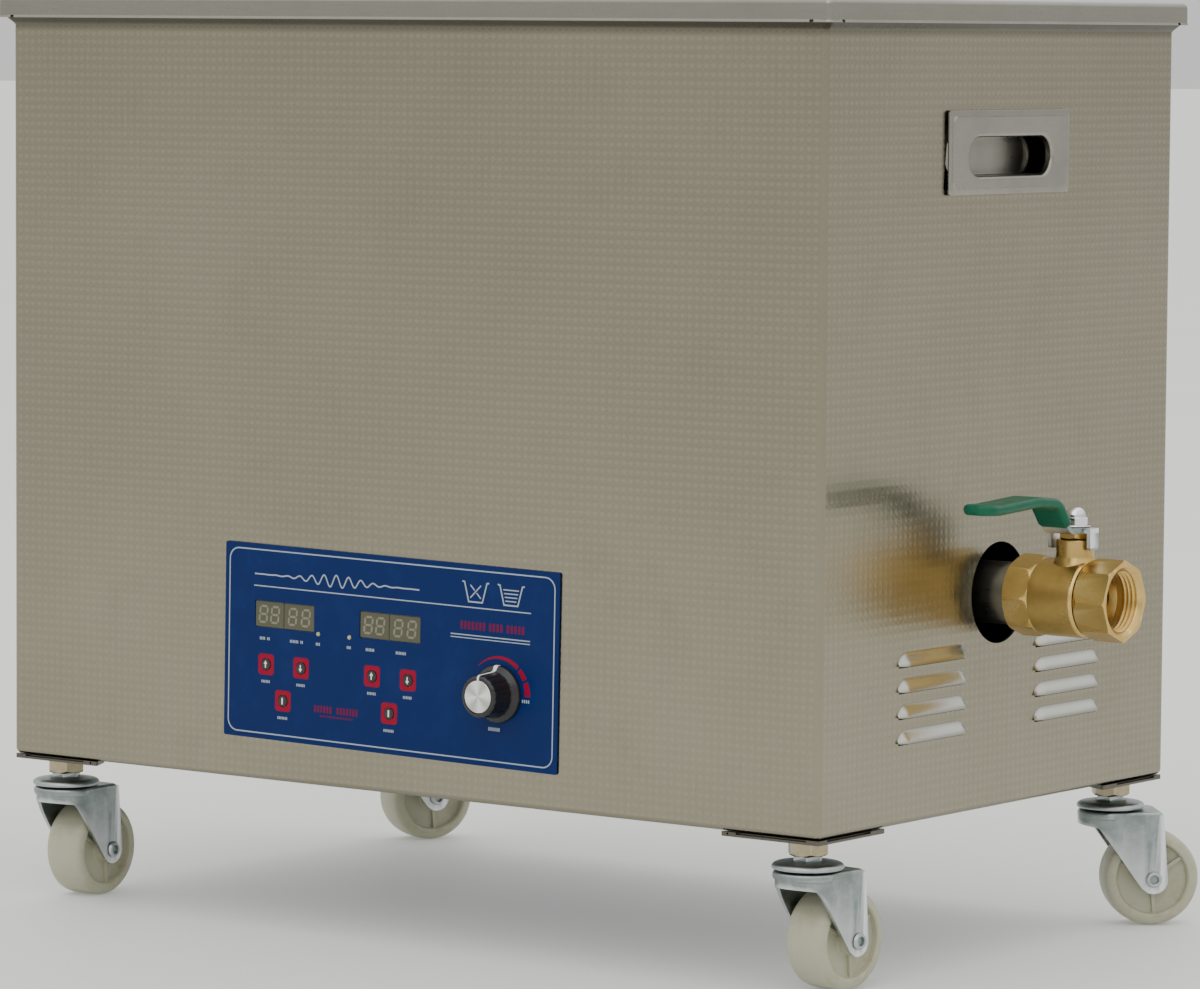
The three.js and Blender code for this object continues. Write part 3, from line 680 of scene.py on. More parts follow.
def grip_cutout(sign, turn):
    """The housing's opening behind a handle. Its near edge is cut slightly askew."""
    half = HANDLE["width"] / 2
    outline = [(-half - 2, -18), (half - 8, -18), (half - 8, 18), (-half + 2.5, 18)]
    hole = moved(prism(outline, -5, 5), turn)
    return shifted(hole, sign * HALF_WIDTH, 0, middle("handle_right").z / MM)


def build_tank():
    shape = tank_shell()
    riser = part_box("drain_pipe")[0].x / MM + PIPE["outer"] - CENTRE.x / MM
    drain = DRAIN.y / MM - CENTRE.y / MM
    hole = [(0, BASIN["floor"] - 3), (PIPE["inner"], BASIN["floor"] - 3),
            (PIPE["inner"], BASIN["floor"] - 0.6),
            (PIPE["inner"] + 0.8, BASIN["floor"] + 1), (0, BASIN["floor"] + 1)]
    for corner in CORNERS.values():
        shape = weld(shape, rim_weld(*corner))
    shape = cut(shape, shifted(lathe(hole, 48), riser, drain), *rim_notches())
    piece("tank_shell", shape, "tank", "cabinet", "tank_steel", CENTRE, replaces=["tank"])


def build_housing():
    shape = weld(housing_sheet(), joined(louvres(0.0, 0.0)))
    tools = louvres(1.0, 1.0) + [grip_cutout(*side) for side in SIDES.values()]
    drain_y = DRAIN.y / MM - CENTRE.y / MM
    tools.append(shifted(moved(rod(26, -5, 5, 64), FACING_RIGHT), HALF_WIDTH, drain_y, DRAIN.z / MM))
    inlet_low, inlet_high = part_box("power_inlet")
    tools.append(block(
        ((inlet_low.x - CENTRE.x) / MM + 8.7, (inlet_high.x - CENTRE.x) / MM - 8.7),
        (HALF_DEPTH - 5, HALF_DEPTH + 5),
        (inlet_low.z / MM + 2.7, inlet_high.z / MM - 2.7),
    ))
    shaft = anchor("power_dial") - CENTRE
    tools.append(shifted(moved(rod(4.8, -5, 5, 24), FACING_FRONT), shaft.x / MM, -HALF_DEPTH, shaft.z / MM))
    shape = cut(shape, *tools)
    piece("housing_shell", shape, "housing", "cabinet", "embossed_steel", CENTRE, replaces=["housing"])


def build_corner_plates():
    """Plates under the cabinet's corners, with a long slit in the seam along each of their outer edges."""
    edge, side, top, thick = 0.4, 61.0, BASE - 0.3, 2.3
    for name, (x, y) in CORNERS.items():
        outline = fillet([
            (edge, edge, 1.5), (side, edge, 1), (side - 2, edge + 1.5), (side - 8, 14, 4),
            (14, side - 8, 4), (edge + 1.5, side - 2),
            (edge, side, 1),
        ])
        plate = prism(outline, top - thick, top)
        slits = [
            block((8, 50), (-1, 2.5), (top - 1.0, top - 0.1)),
            block((-1, 2.5), (8, 46), (top - 1.0, top - 0.1)),
            shifted(moved(rod(0.6, -2, 2, 12), FACING_FRONT), 55, edge, top - 0.9),
            shifted(rod(5.4, top - 5, top + 1, 32), 20, 20, 0),
        ]
        shape = cut(plate, *slits)
        mirror = Matrix.Diagonal((-x, -y, 1, 1))
        piece(
            f"corner_bracket_{name}", moved(shape, mirror), "plate", "cabinet", "tank_steel",
            CENTRE + Vector((x * HALF_WIDTH * MM, y * HALF_DEPTH * MM, 0)),
            replaces=[f"corner_plate_{name}"], bevel=0.2,
        )


# ------------------------------------------------------------------ control panel

PANEL_AT = Vector((middle("control_overlay").x, FRONT, middle("control_overlay").z))
PANEL_TURN = Matrix.Rotation(math.radians(PANEL_TILT), 4, "Y") @ FACING_FRONT
FACE = 1.1              # the film's face in front of the housing
PRINT = 0.05            # the thickness of a printed mark
PANEL_WIDTH, PANEL_HEIGHT = 220.0, 102.6
WINDOWS = {"display_temperature": (-69.5, 14.6), "display_timer": (1.0, 14.6)}
WINDOW_WIDTH, WINDOW_HEIGHT = 39.6, 13.4


def on_panel(point):
    """Where a point of the frame is on the panel, in millimetres across and up it."""
    local = (Matrix.Translation(PANEL_AT) @ PANEL_TURN).inverted() @ point / MM
    return local.x, local.y


KEYS = {name: on_panel(middle(name)) for name in frame["nodes"] if name.startswith("button_")}
DIAL = on_panel(anchor("power_dial"))
ON_PANEL = {"at": PANEL_AT, "turn": PANEL_TURN}
ON_DIAL = {"at": Vector((anchor("power_dial").x, FRONT, anchor("power_dial").z)), "turn": PANEL_TURN}


def mark(outline):
    return prism(outline, FACE, FACE + PRINT)


def bar(u0, u1, v0, v1, radius=0.0):
    return mark(rectangle(u1 - u0, v1 - v0, radius, (u0 + u1) / 2, (v0 + v1) / 2, steps=3))


def ribbon(points, width, closed=False, base=FACE):
    """A printed line of even width through points. The width may be a list, one for each point."""
    line = [Vector(point) for point in points]
    loops = []
    for i, point in enumerate(line):
        before = line[i - 1] if closed or i else point
        after = line[(i + 1) % len(line)] if closed or i < len(line) - 1 else point
        runs = [(point - before).normalized(), (after - point).normalized()]
        normals = [Vector((-run.y, run.x)) for run in runs if run.length]
        across = (normals[0] + normals[-1]).normalized()
        wide = width[i] if isinstance(width, list) else width
        reach = across * wide / 2 / max(across.dot(normals[0]), 0.35)
        left, right = point + reach, point - reach
        loops.append([(*left, base), (*right, base), (*right, base + PRINT), (*left, base + PRINT)])
    return loft(loops, ring=closed)


def arc(u, v, radius, start, end, steps=24):
    turns = [math.radians(start + (end - start) * i / steps) for i in range(steps + 1)]
    return [(u + radius * math.cos(turn), v + radius * math.sin(turn)) for turn in turns]


def words(u, v, height, lengths, letter=0.62, gap=1.1):
    """Stands for a printed line of words: runs of small plain bars, centred on a point."""
    pitch = letter * 1.6
    left = u - (sum(lengths) + gap * (len(lengths) - 1)) / 2
    bars = []
    for length in lengths:
        for i in range(max(1, round(length / pitch))):
            start = left + i * pitch
            bars.append(bar(start, start + letter, v - height / 2, v + height / 2, letter * 0.3))
        left += length + gap
    return bars


def wave(left, right, v, height):
    """A wave packet, for ultrasound."""
    middle_u, half = (left + right) / 2, (right - left) / 2
    points = []
    for i in range(181):
        share = i / 90 - 1
        swell = math.exp(-6 * share * share)
        points.append((middle_u + half * share, v + height / 2 * swell * math.cos(share * 42)))
    return ribbon(points, 0.75)


def basin_sign(u, v, inside):
    bowl = [(u - 8.6, v + 5.2), (u - 7.2, v + 5), (u - 4.4, v - 5), (u + 4.4, v - 5), (u + 7.2, v + 5),
            (u + 8.6, v + 5.2)]
    marks = [ribbon(bowl, 0.8)]
    if inside == "liquid":
        marks += [ribbon([(u - 5 + k / 2, v + 2.8 - 1.9 * k), (u + 5 - k / 2, v + 2.8 - 1.9 * k)],
                         0.6) for k in range(4)]
    else:
        marks += [ribbon([(u - 3.4, v - 3), (u + 3.4, v + 3.6)], 0.7),
                  ribbon([(u - 3.4, v + 3.6), (u - 0.6, v + 0.9)], 0.7),
                  ribbon([(u + 0.6, v - 0.3), (u + 3.4, v - 3)], 0.7)]
    return marks


def white_marks():
    border = rectangle(PANEL_WIDTH - 6, PANEL_HEIGHT - 6, 6, steps=6)
    marks = [ribbon(border, 0.7, closed=True), wave(-90, 20, 35.5, 6.4), bar(-90.4, 92.1, 29.0, 29.6)]
    marks += basin_sign(56.5, 37.2, "empty") + basin_sign(79.2, 37.2, "liquid")
    marks += [bar(40.8, 91.8, 14.7, 15.3), bar(40.8, 91.8, 13.2, 13.7)]
    for u, lengths in ((-82.5, (4, 2)), (-61, (6, 2)), (-46.7, (2.6,)), (-26, (2.6,)), (-11.7, (6,)),
                       (8.5, (6.6,))):
        marks += words(u, 1.8, 1.6, lengths)
    for name, (u, v) in KEYS.items():
        marks += words(u, v - 9.0, 1.5, (6,) if "up" in name or "down" in name else (7,))
    u, v = DIAL
    return marks + words(u - 2, v - 18.4, 1.9, (8,), 0.8) + words(u + 17.6, v - 2.4, 1.7, (5,), 0.8)


def dial_scale():
    """A band that thickens from half past ten to three o'clock, with two gaps near its end."""
    u, v = DIAL
    widths = [0.3 + 3.2 * (i / 30) for i in range(31)]
    scale = arc(u, v, 18.6, 135, 0, 30)
    return [ribbon(scale[first:last + 1], widths[first:last + 1]) for first,
            last in ((0, 19), (20, 24), (25, 30))]


def red_marks():
    marks = dial_scale()
    for u, v in KEYS.values():
        outer = subdivided(rectangle(10.5, 11, 1.8, u, v, steps=6))
        inner = [on_circle(u, v, 3.3, point) for point in outer]
        loops = [[(*p, FACE) for p in outer], [(*p, FACE + PRINT) for p in outer],
                 [(*p, FACE + PRINT) for p in inner], [(*p, FACE) for p in inner]]
        marks.append(loft(loops, ring=True))
    return marks


def subdivided(outline):
    """Adds points along an outline's long sides, so that it can follow a circle."""
    points = []
    for i, point in enumerate(outline):
        run = Vector(outline[(i + 1) % len(outline)]) - Vector(point)
        count = 6 if run.length > 3 else 1
        points += [tuple(Vector(point) + run * step / count) for step in range(count)]
    return points


def on_circle(u, v, radius, point):
    away = (Vector(point) - Vector((u, v))).normalized() * radius
    return u + away.x, v + away.y


def seven_segments(u, v):
    """An unlit digit of seven bars, slanted a little."""
    bars = []
    half_w, half_h, thick = 2.45, 4.2, 1.15
    ends = [
        ((-half_w, half_h), (half_w, half_h)), ((-half_w, 0), (half_w, 0)),
        ((-half_w, -half_h), (half_w, -half_h)),
        ((-half_w, half_h), (-half_w, 0)), ((half_w, half_h), (half_w, 0)),
        ((-half_w, 0), (-half_w, -half_h)), ((half_w, 0), (half_w, -half_h)),
    ]
    for start, end in ends:
        run = (Vector(end) - Vector(start)).normalized()
        points = [Vector(start) + run * 0.35, Vector(start) + run * 0.95, Vector(end) - run * 0.95,
                  Vector(end) - run * 0.35]
        line = [(u + p.x + 0.12 * p.y, v + p.y) for p in points]
        bars.append(ribbon(line, [0.15, thick, thick, 0.15], base=0.8))
    return bars


def build_panel():
    tools = [prism(rectangle(WINDOW_WIDTH + 0.5, WINDOW_HEIGHT + 0.5, 0.6, u, v), -1, 3) for u,
             v in WINDOWS.values()]
    tools += [shifted(rod(3.3, -1, 3, 36), u, v) for u, v in KEYS.values()]
    tools.append(shifted(rod(4.8, -1, 3, 32), *DIAL))
    shape = cut(prism(rectangle(PANEL_WIDTH, PANEL_HEIGHT, 1.2), 0.3, FACE), *tools)
    piece("panel_film", shape, "blue", "cabinet", "panel_film", **ON_PANEL, replaces=["control_overlay"],
          bevel=0.15)
    piece("panel_print_white", joined(white_marks()), "white", "cabinet", "panel_film", **ON_PANEL)
    piece("panel_print_red", joined(red_marks()), "red", "cabinet", "panel_film", **ON_PANEL)
    dashes = words(68, 20.0, 4.2, (16, 9, 12), 1.5, 2.4) + words(-33.5, -32.0, 3.6, (13, 15), 1.3,
                                                                 2.2) + words(-33.5, -35.6, 1.0, (22,), 0.6)
    piece("panel_print_dim", joined(dashes), "dim_red", "cabinet", "panel_film", **ON_PANEL)
    dome = [(0, FACE - 0.5), (1.15, FACE - 0.5), (1.15, FACE + 0.1), (1.0, FACE + 0.6), (0.55, FACE + 0.95),
            (0, FACE + 1.05)]
    lamps = [shifted(lathe(dome, 28), u, 7.1) for u in (-46.4, -25.6)]
    piece("panel_lamps", joined(lamps), "lamp", "cabinet", "display_lens", **ON_PANEL)
    for name, (u, v) in WINDOWS.items():
        module = prism(rectangle(WINDOW_WIDTH, WINDOW_HEIGHT, 0.5, u, v), -9, 0.8)
        groove = block((u - 0.85, u - 0.45), (v - 8, v + 8), (0.1, 2))
        piece(f"{name}_lens", cut(module, groove), "lens", "cabinet", "display_lens", **ON_PANEL,
              replaces=[name], bevel=0.2)
        digits = [segment for offset in (-14.4, -6.6, 5.4, 14.2) for segment in seven_segments(u + offset,
                                                                                               v)]
        piece(f"{name}_digits", joined(digits), "segment", "cabinet", "display_lens", **ON_PANEL)


def build_keys():
    symbols = {
        "up": [(0, 2.1), (-1.1, 0.3), (-0.35, 0.3), (-0.35, -1.7), (0.35, -1.7), (0.35, 0.3), (1.1, 0.3)],
        "down": [(0, -2.1), (1.1, -0.3), (0.35, -0.3), (0.35, 1.7), (-0.35, 1.7), (-0.35, -0.3),
                 (-1.1, -0.3)],
        "set": [(-0.45, -1.7), (0.45, -1.7), (0.45, 1.7), (-0.45, 1.7)],
    }
    for name, (u, v) in KEYS.items():
        body = name.replace("button", "key")
        cap = [(0, -8), (4.2, -8), (4.2, -3), (3, -3), (3, FACE + 0.1), (2.85, FACE + 0.35),
               (2.4, FACE + 0.5), (0, FACE + 0.56)]
        place = {"at": PANEL_AT + PANEL_TURN @ Vector((u * MM, v * MM, 0)), "turn": PANEL_TURN}
        piece(f"{body}_cap", lathe(cap, 40), "black", body, "black_plastic", **place, replaces=[name])
        symbol = symbols.get(name.rsplit("_", 1)[-1], symbols["set"])
        piece(f"{body}_symbol", prism(symbol, FACE + 0.5, FACE + 0.62), "pointer", body, "black_plastic",
              **place)


def build_knob():
    sides, flutes = 144, 18
    profile = [
        (0, 14.1, 0), (3.3, 14.1, 0), (3.3, 1.4, 0), (14.3, 1.4, 0), (14.6, 1.7, 0), (14.6, 2.9, 0),
        (14.3, 3.5, 0), (13.2, 4.1, 0),
        (12.0, 4.9, 0.3), (11.55, 6.2, 1), (11.3, 9, 1), (10.95, 16.8, 1), (10.6, 17.7, 0.7),
        (9.9, 18.2, 0.2), (9.2, 18.4, 0),
        (8.6, 18.3, 0), (8.55, 17.4, 0), (0, 17.4, 0),
    ]
    loops = []
    for radius, height, depth in profile:
        loop = circle(radius, height, sides)
        if depth:
            loop = [(x * scale, y * scale, z) for (x, y, z), scale in
                    ((p, 1 - 0.026 * depth * max(0, math.cos(flutes * 2 * math.pi * i / sides)) ** 2) for i,
                     p in enumerate(loop))]
        loops.append(loop)
    piece("knob_body", loft(loops), "knob", "power_knob", "black_gloss", **ON_DIAL, replaces=["knob"],
          sharp=40)
    disc = [(0, 17.5), (8.2, 17.5), (8.3, 17.7), (8.3, 18.3), (8.1, 18.5), (7.5, 18.5), (7.2, 18.35),
            (0, 18.2)]
    piece("knob_cap_disc", lathe(disc, 72), "spun", "power_knob", "spun_aluminium", **ON_DIAL,
          replaces=["knob_cap"])
    path = [(8.7, 18.45), (9.5, 18.4), (10.35, 18.15), (11.0, 17.2), (11.25, 13), (11.65, 7), (12.15, 5),
            (13.4, 4.25), (14.5, 3.6), (14.75, 1.8)]
    widths = [1.1, 1.15, 1.2, 1.25, 1.3, 1.5, 1.8, 2.2, 2.5, 2.6]
    loops = [[(-w / 2, y - 0.5, z - 0.3), (w / 2, y - 0.5, z - 0.3), (w / 2, y + 0.02, z),
              (-w / 2, y + 0.02, z)]
             for (y, z), w in zip(path, widths)]
    piece("knob_pointer", loft(loops), "pointer", "power_knob", "black_gloss", **ON_DIAL)


# ------------------------------------------------------------------ handles

HANDLE = {"width": 113.0, "height": 42.5, "slot": 77.5, "slot_height": 19.5, "drop": 2.2, "deep": 13.0}


def slot_loop(wider, height):
    width, tall = HANDLE["slot"] + wider, HANDLE["slot_height"] + wider
    return [(x, y, height) for x, y in rectangle(width, tall, tall / 2 - 0.01, 0, -HANDLE["drop"], steps=8)]


def plate_loop(inset, radius, height):
    return [(x, y, height) for x, y in rectangle(HANDLE["width"] - inset, HANDLE["height"] - inset, radius,
                                                 steps=8)]


def handle_shape():
    """A pressed plate with a stepped border and a rolled slot, and a shallow cup with open ends behind."""
    deep, lip, proud = HANDLE["deep"], 2.0, 3.0
    loops = [slot_loop(-2, -deep), slot_loop(-0.6, -deep + 0.4), slot_loop(0, -deep + 1.2),
             slot_loop(0, proud - lip)]
    loops += [slot_loop(2 * lip * (1 - c), proud - lip + lip * s) for s, c in quarter()[1:]]
    loops += [
        plate_loop(7.2, 3.2, proud), plate_loop(5.8, 3.2, proud - 0.75), plate_loop(1.0, 2.4, proud - 0.85),
        plate_loop(0.2, 2.2, proud - 1.1),
        plate_loop(0, 2.2, proud - 1.5), plate_loop(0.2, 2.2, proud - 1.9),
        plate_loop(6.5, 2.2, proud - 1.85),
        slot_loop(7, proud - 1.9), slot_loop(2, proud - 3.2), slot_loop(2, -deep - 0.2),
        slot_loop(0, -deep - 1),
    ]
    ends = [block(sorted((sign * 28.5, sign * 46)), (-11.5, 7), (-deep + 1.4, -1.2)) for sign in (-1, 1)]
    return cut(loft(loops), *ends)


def build_handles():
    for side, (sign, turn) in SIDES.items():
        at = Vector((CENTRE.x + sign * HALF_WIDTH * MM, CENTRE.y, middle(f"handle_{side}").z))
        piece(f"handle_{side}_pull", handle_shape(), "bright", "cabinet", "polished_steel", at, turn,
              [f"handle_{side}"])


# ------------------------------------------------------------------ drain

PIPE = {"outer": 16.0, "inner": 14.4, "bend": 35.0}
VALVE_TURN = FACING_RIGHT      # drawn with its axis up, the valve lies along X with its stem up


def build_pipe():
    low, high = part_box("drain_pipe")
    outer, bend = PIPE["outer"], PIPE["bend"]
    riser = low + Vector((outer, outer, 0)) * MM
    top, reach = (high.z - DRAIN.z) / MM, (high.x - riser.x) / MM
    stations = [((0, top), (0, -1)), ((0, (top + bend) / 2), (0, -1))]
    stations += [((bend * (1 - c), bend * (1 - s)), (s, -c)) for s, c in quarter(12)]
    stations += [((reach * 0.8, 0), (1, 0)), ((reach, 0), (1, 0))]
    loops = []
    for radius, order in ((outer, stations), (PIPE["inner"], stations[::-1])):
        for (x, z), along in order:
            turns = [2 * math.pi * i / 48 for i in range(48)]
            loops.append([(x - along[1] * radius * math.cos(t), radius * math.sin(t),
                           z + along[0] * radius * math.cos(t))
                          for t in turns])
    piece("drain_elbow", loft(loops, ring=True), "bright", "cabinet", "polished_steel",
          Vector((riser.x, DRAIN.y, DRAIN.z)), replaces=["drain_pipe"])


def hex_blank(flats, low, high, chamfer, radius=0.6):
    """A hexagonal prism with its ends turned down to a chamfer."""
    corner = flats / math.sqrt(3)
    flat = flats / 2
    profile = [(0, low), (flat - 0.2, low), (corner + 0.2, low + chamfer), (corner + 0.2, high - chamfer),
               (flat - 0.2, high), (0, high)]
    return combine(prism(hexagon(flats, radius), low - 1, high + 1), lathe(profile, 96), "INTERSECT")


VALVE_CORNER, BARREL = 21.0, 19.9
BALL, BORE = 16.5, 12.0
SEAT = 17.1             # the hollow round the ball
THREAD_PITCH = 2.309


def octagon(radius):
    """An octagon with a corner at the top and slightly rounded corners."""
    return fillet([(x, y, 0.7) for x, y, height in circle(radius, 0, 8)], steps=2)


def build_valve():
    stem = STEM.x / MM
    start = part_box("valve_body")[0].x / MM - stem
    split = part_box("valve_end")[0].x / MM - stem
    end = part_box("valve_end")[1].x / MM - stem
    place = {"at": Vector((STEM.x, DRAIN.y, DRAIN.z)), "turn": VALVE_TURN}
    corner, barrel = VALVE_CORNER, BARREL
    turned_down = lathe([
        (0, start), (corner - 1.4, start), (corner + 0.3, start + 1.3), (corner + 0.3, start + 9.5),
        (barrel - 0.2, start + 14.5),
        (barrel - 2, start + 17), (0, start + 17),
    ], 96)
    neck = combine(prism(octagon(corner), start - 1, start + 18), turned_down, "INTERSECT")
    drum = lathe([
        (0, start + 5), (barrel - 1.6, start + 5), (barrel - 0.9, start + 11), (barrel - 0.3, start + 15),
        (barrel, start + 19),
        (barrel, split - 2.4), (barrel - 0.3, split - 1.2), (barrel - 1, split - 0.4), (0, split - 0.4),
    ], 96)
    bonnet = turned(lathe([
        (0, 12), (11.1, 12), (11.1, 17.4), (10.7, 19), (10.1, 20.4), (9.6, 22), (9.5, 29), (9.1, 29.8),
        (8.6, 30), (0, 30),
    ], 64), -90, "X")
    cavity = lathe([
        (0, start - 1), (17.4, start - 1), (16.6, start + 0.6), (16.6, start + 8.8), (12.5, start + 8.8),
        (12.5, -17), (17.2, -17),
        (17.2, split + 1), (0, split + 1),
    ], 64)
    shape = weld(neck, drum, bonnet)
    shape = cut(cut(shape, cavity), turned(rod(4.8, 14, 31, 32), -90, "X"))
    piece("valve_body_casting", shape, "brass", "cabinet", "brass", **place, replaces=["valve_body"],
          bevel=0.3)
    shoulder = lathe([
        (0, split), (barrel - 1.2, split), (barrel - 0.4, split + 0.8), (corner - 0.2, split + 3.0),
        (corner + 0.4, split + 3.8),
        (corner + 0.4, end - 0.9), (corner - 0.6, end), (0, end),
    ], 96)
    nut = combine(prism(octagon(corner), split - 1, end + 1), shoulder, "INTERSECT")
    bore = [(0, split - 1)]
    angles = [math.asin((split - 1) / SEAT) + i * 0.03 for i in range(40)]
    bore += [(SEAT * math.cos(a), SEAT * math.sin(a)) for a in angles if 12.5 < SEAT * math.cos(a)]
    bore += [(12.5, 12), (12.5, end - 12)]
    turns = int(10.4 / THREAD_PITCH)
    for i in range(turns):
        z = end - 11.6 + i * THREAD_PITCH
        bore += [(15.3, z), (16.7, z + THREAD_PITCH * 0.5)]
    bore += [(15.5, end - 11.6 + turns * THREAD_PITCH), (15.9, end - 1.4), (17.6, end + 0.01),
             (17.6, end + 1), (0, end + 1)]
    piece("valve_end_nut", cut(nut, lathe(bore, 96)), "brass", "cabinet", "brass", **place,
          replaces=["valve_end"], bevel=0.25)
    gland = cut(hex_blank(15, 30.3, 34.8, 0.9, 0.3), rod(4.8, 29, 36, 32))
    piece("valve_gland", gland, "brass", "cabinet", "brass", STEM, replaces=["packing_nut"], bevel=0.2)


def build_ball():
    limit = math.acos(BORE / BALL)
    angles = [-limit + 2 * limit * i / 28 for i in range(29)]
    profile = [(BALL * math.cos(a), BALL * math.sin(a)) for a in angles]
    ball = turned(lathe(profile, 72, ring=True), 90, "X")
    ball = cut(ball, prism(rectangle(7, 40), BALL - 3.5, BALL + 2))
    piece("valve_ball_turned", ball, "chrome", "drain_lever", "chrome", STEM, replaces=["valve_ball"])
    spindle = [(0, 16.9), (4.4, 16.9), (4.4, 30), (4.1, 30.6), (4.1, 33.2), (3.9, 33.5), (3.9, 41.2),
               (3.2, 42), (0, 42)]
    shape = weld(lathe(spindle, 40), prism(rectangle(6.2, 6.6, 0.5), 13.4, 18))
    piece("valve_spindle", shape, "zinc", "drain_lever", "zinc_steel", STEM, replaces=["valve_stem"])


LEVER_Z = 33.6          # the plate's underside above the pipe's axis
LEVER_BEND = [(-27.8, 14.8, 9), (-46, 16.9, 30), (-82, 15.1, 30)]
LEVER_LINE = [(7, 0), (-16, 0, 4), *LEVER_BEND, (-94.5, 15.6)]


def along(points):
    """Points about every 1.5 mm along a line, each with its direction and distance."""
    line = [Vector(point) for point in fillet(points, closed=False, steps=8)]
    stations, travelled = [], 0.0
    for a, b in zip(line, line[1:]):
        run = b - a
        count = max(1, round(run.length / 1.5))
        for i in range(count):
            stations.append((a + run * i / count, run.normalized(), travelled + run.length * i / count))
        travelled += run.length
    stations.append((line[-1], (line[-1] - line[-2]).normalized(), travelled))
    return stations


def swept(stations, outline):
    """Lofts an outline, given for each distance in width and thickness, along a line in Y and Z."""
    loops = []
    for point, run, distance in stations:
        up = Vector((run.y, -run.x))
        loops.append([(across, point.x + up.x * rise, point.y + up.y * rise) for across,
                      rise in outline(distance)])
    return loft(loops)


def build_lever():
    at = STEM + Vector((0, 0, LEVER_Z * MM))
    thick, width = 2.5, 16.0
    stations = along(LEVER_LINE)
    total = stations[-1][2]

    def strip(distance):
        rear = min(1.0, 0.62 + 0.38 * distance / 4.5)
        tip = math.sqrt(max(0.02, 1 - max(0.0, (distance - total + 8) / 8) ** 2))
        waist = 1 - 0.1 * math.exp(-((distance - 33) / 7) ** 2)
        return rectangle(width * min(rear, tip) * waist, thick, 0.35, steps=2)

    arm = shifted(swept(stations, strip), 0, 0, thick / 2)
    tab = fillet([(-6, 0.2), (-6, -8.5, 1.6), (2, -8.5, 1.6), (2, 0.2)])
    stops = [moved(prism(tab, inner, inner + 2), FACING_RIGHT) for inner in (-12.5, 10.5)]
    shape = weld(arm, block((-12.5, 12.5), (-5.99, 1.99), (0.02, thick - 0.02)), *stops)
    shape = cut(shape, rod(4.3, -1, thick + 1, 32))
    piece("lever_arm", shape, "zinc", "drain_lever", "zinc_steel", at, replaces=["valve_lever"], bevel=0.3)

    coat_stations = along([(-19.0, 3.8), *LEVER_BEND, (-96, 15.7)])
    length = coat_stations[-1][2]

    def coat(distance):
        start = min(1.0, 0.9 + 0.1 * math.sqrt(min(1, distance / 1.5)))
        left = max(0.0, length - distance)
        wide = math.sqrt(max(0.0, 1 - (max(0.0, 9 - left) / 9) ** 2))
        tall = math.sqrt(max(0.0, 1 - (max(0.0, 2 - left) / 2) ** 2))
        height = 5.3 * start * max(tall, 0.4)
        return rectangle(max(18.8 * start * wide, height + 0.2, 5.4), height, height / 2 - 0.05, steps=6)

    grip = shifted(swept(coat_stations, coat), 0, 0, thick / 2)
    piece("lever_grip_coat", grip, "vinyl", "drain_lever", "green_vinyl", at, replaces=["lever_grip"],
          sharp=50)

    foot = thick + 0.3
    dome = lathe([
        (0, foot + 3), (5.3, foot + 3), (5.3, foot + 5), (5.1, foot + 6.3), (4.6, foot + 7.6),
        (3.8, foot + 8.7),
        (2.6, foot + 9.5), (1.3, foot + 9.9), (0, foot + 10),
    ], 48)
    washer = lathe([(0, foot), (7.4, foot), (7.6, foot + 0.3), (7.4, foot + 0.8), (0, foot + 0.8)], 48)
    nut = weld(hex_blank(12.2, foot + 0.5, foot + 4.8, 0.9, 0.3), dome, washer)
    nut = cut(nut, lathe([(0, foot - 1), (4.2, foot - 1), (4.2, foot + 5.9), (0, foot + 7.6)], 32))
    piece("lever_acorn_nut", nut, "chrome", "drain_lever", "chrome", at, replaces=["lever_nut"], bevel=0.15)


# ------------------------------------------------------------------ casters

WHEEL = 25.5            # the wheel's radius, and so its axle's height
TRAIL = 21.0            # from the stem back to the axle


def fork_wall():
    """The fork's arms and front skirt as one bent wall, drawn trailing towards +X."""
    out, nose, eye, top_edge, skirt = 14.6, 16.4, 7.8, 60.2, 52.8
    path = [(x, out) for x in (28.75, 28.6, 28.2, 27.3, 26, 24, 21, 18, 15, 12, 9, 6, 3)]
    path += [(-nose * math.sin(a), out * math.cos(a)) for a in (math.pi / 24 * i for i in range(12))]
    path += [(-nose, 0)]
    path += [(x, -y) for x, y in reversed(path[:-1])]
    loops = []
    for i, (x, y) in enumerate(path):
        before, after = Vector(path[max(i - 1, 0)]), Vector(path[min(i + 1, len(path) - 1)])
        run = (after - before).normalized()
        normal = Vector((run.y, -run.x)) * 0.95
        bottom = skirt + 1.2 * min(1.0, max(0.0, (-x - 8) / 8)) if x < -8 else skirt - (x + 8) * 1.42
        reach = x - TRAIL
        if x > 14.6:
            bottom = WHEEL - math.sqrt(max(0.0, eye ** 2 - reach ** 2))
        top = top_edge
        if x > 26:
            top = top_edge - (x - 26) * 13.0
        if x > 28.5:
            top = WHEEL + math.sqrt(max(0.04, eye ** 2 - reach ** 2))
        loops.append([(x - normal.x, y - normal.y, bottom), (x + normal.x, y + normal.y, bottom),
                      (x + normal.x, y + normal.y, top), (x - normal.x, y - normal.y, top)])
    return loft(loops)


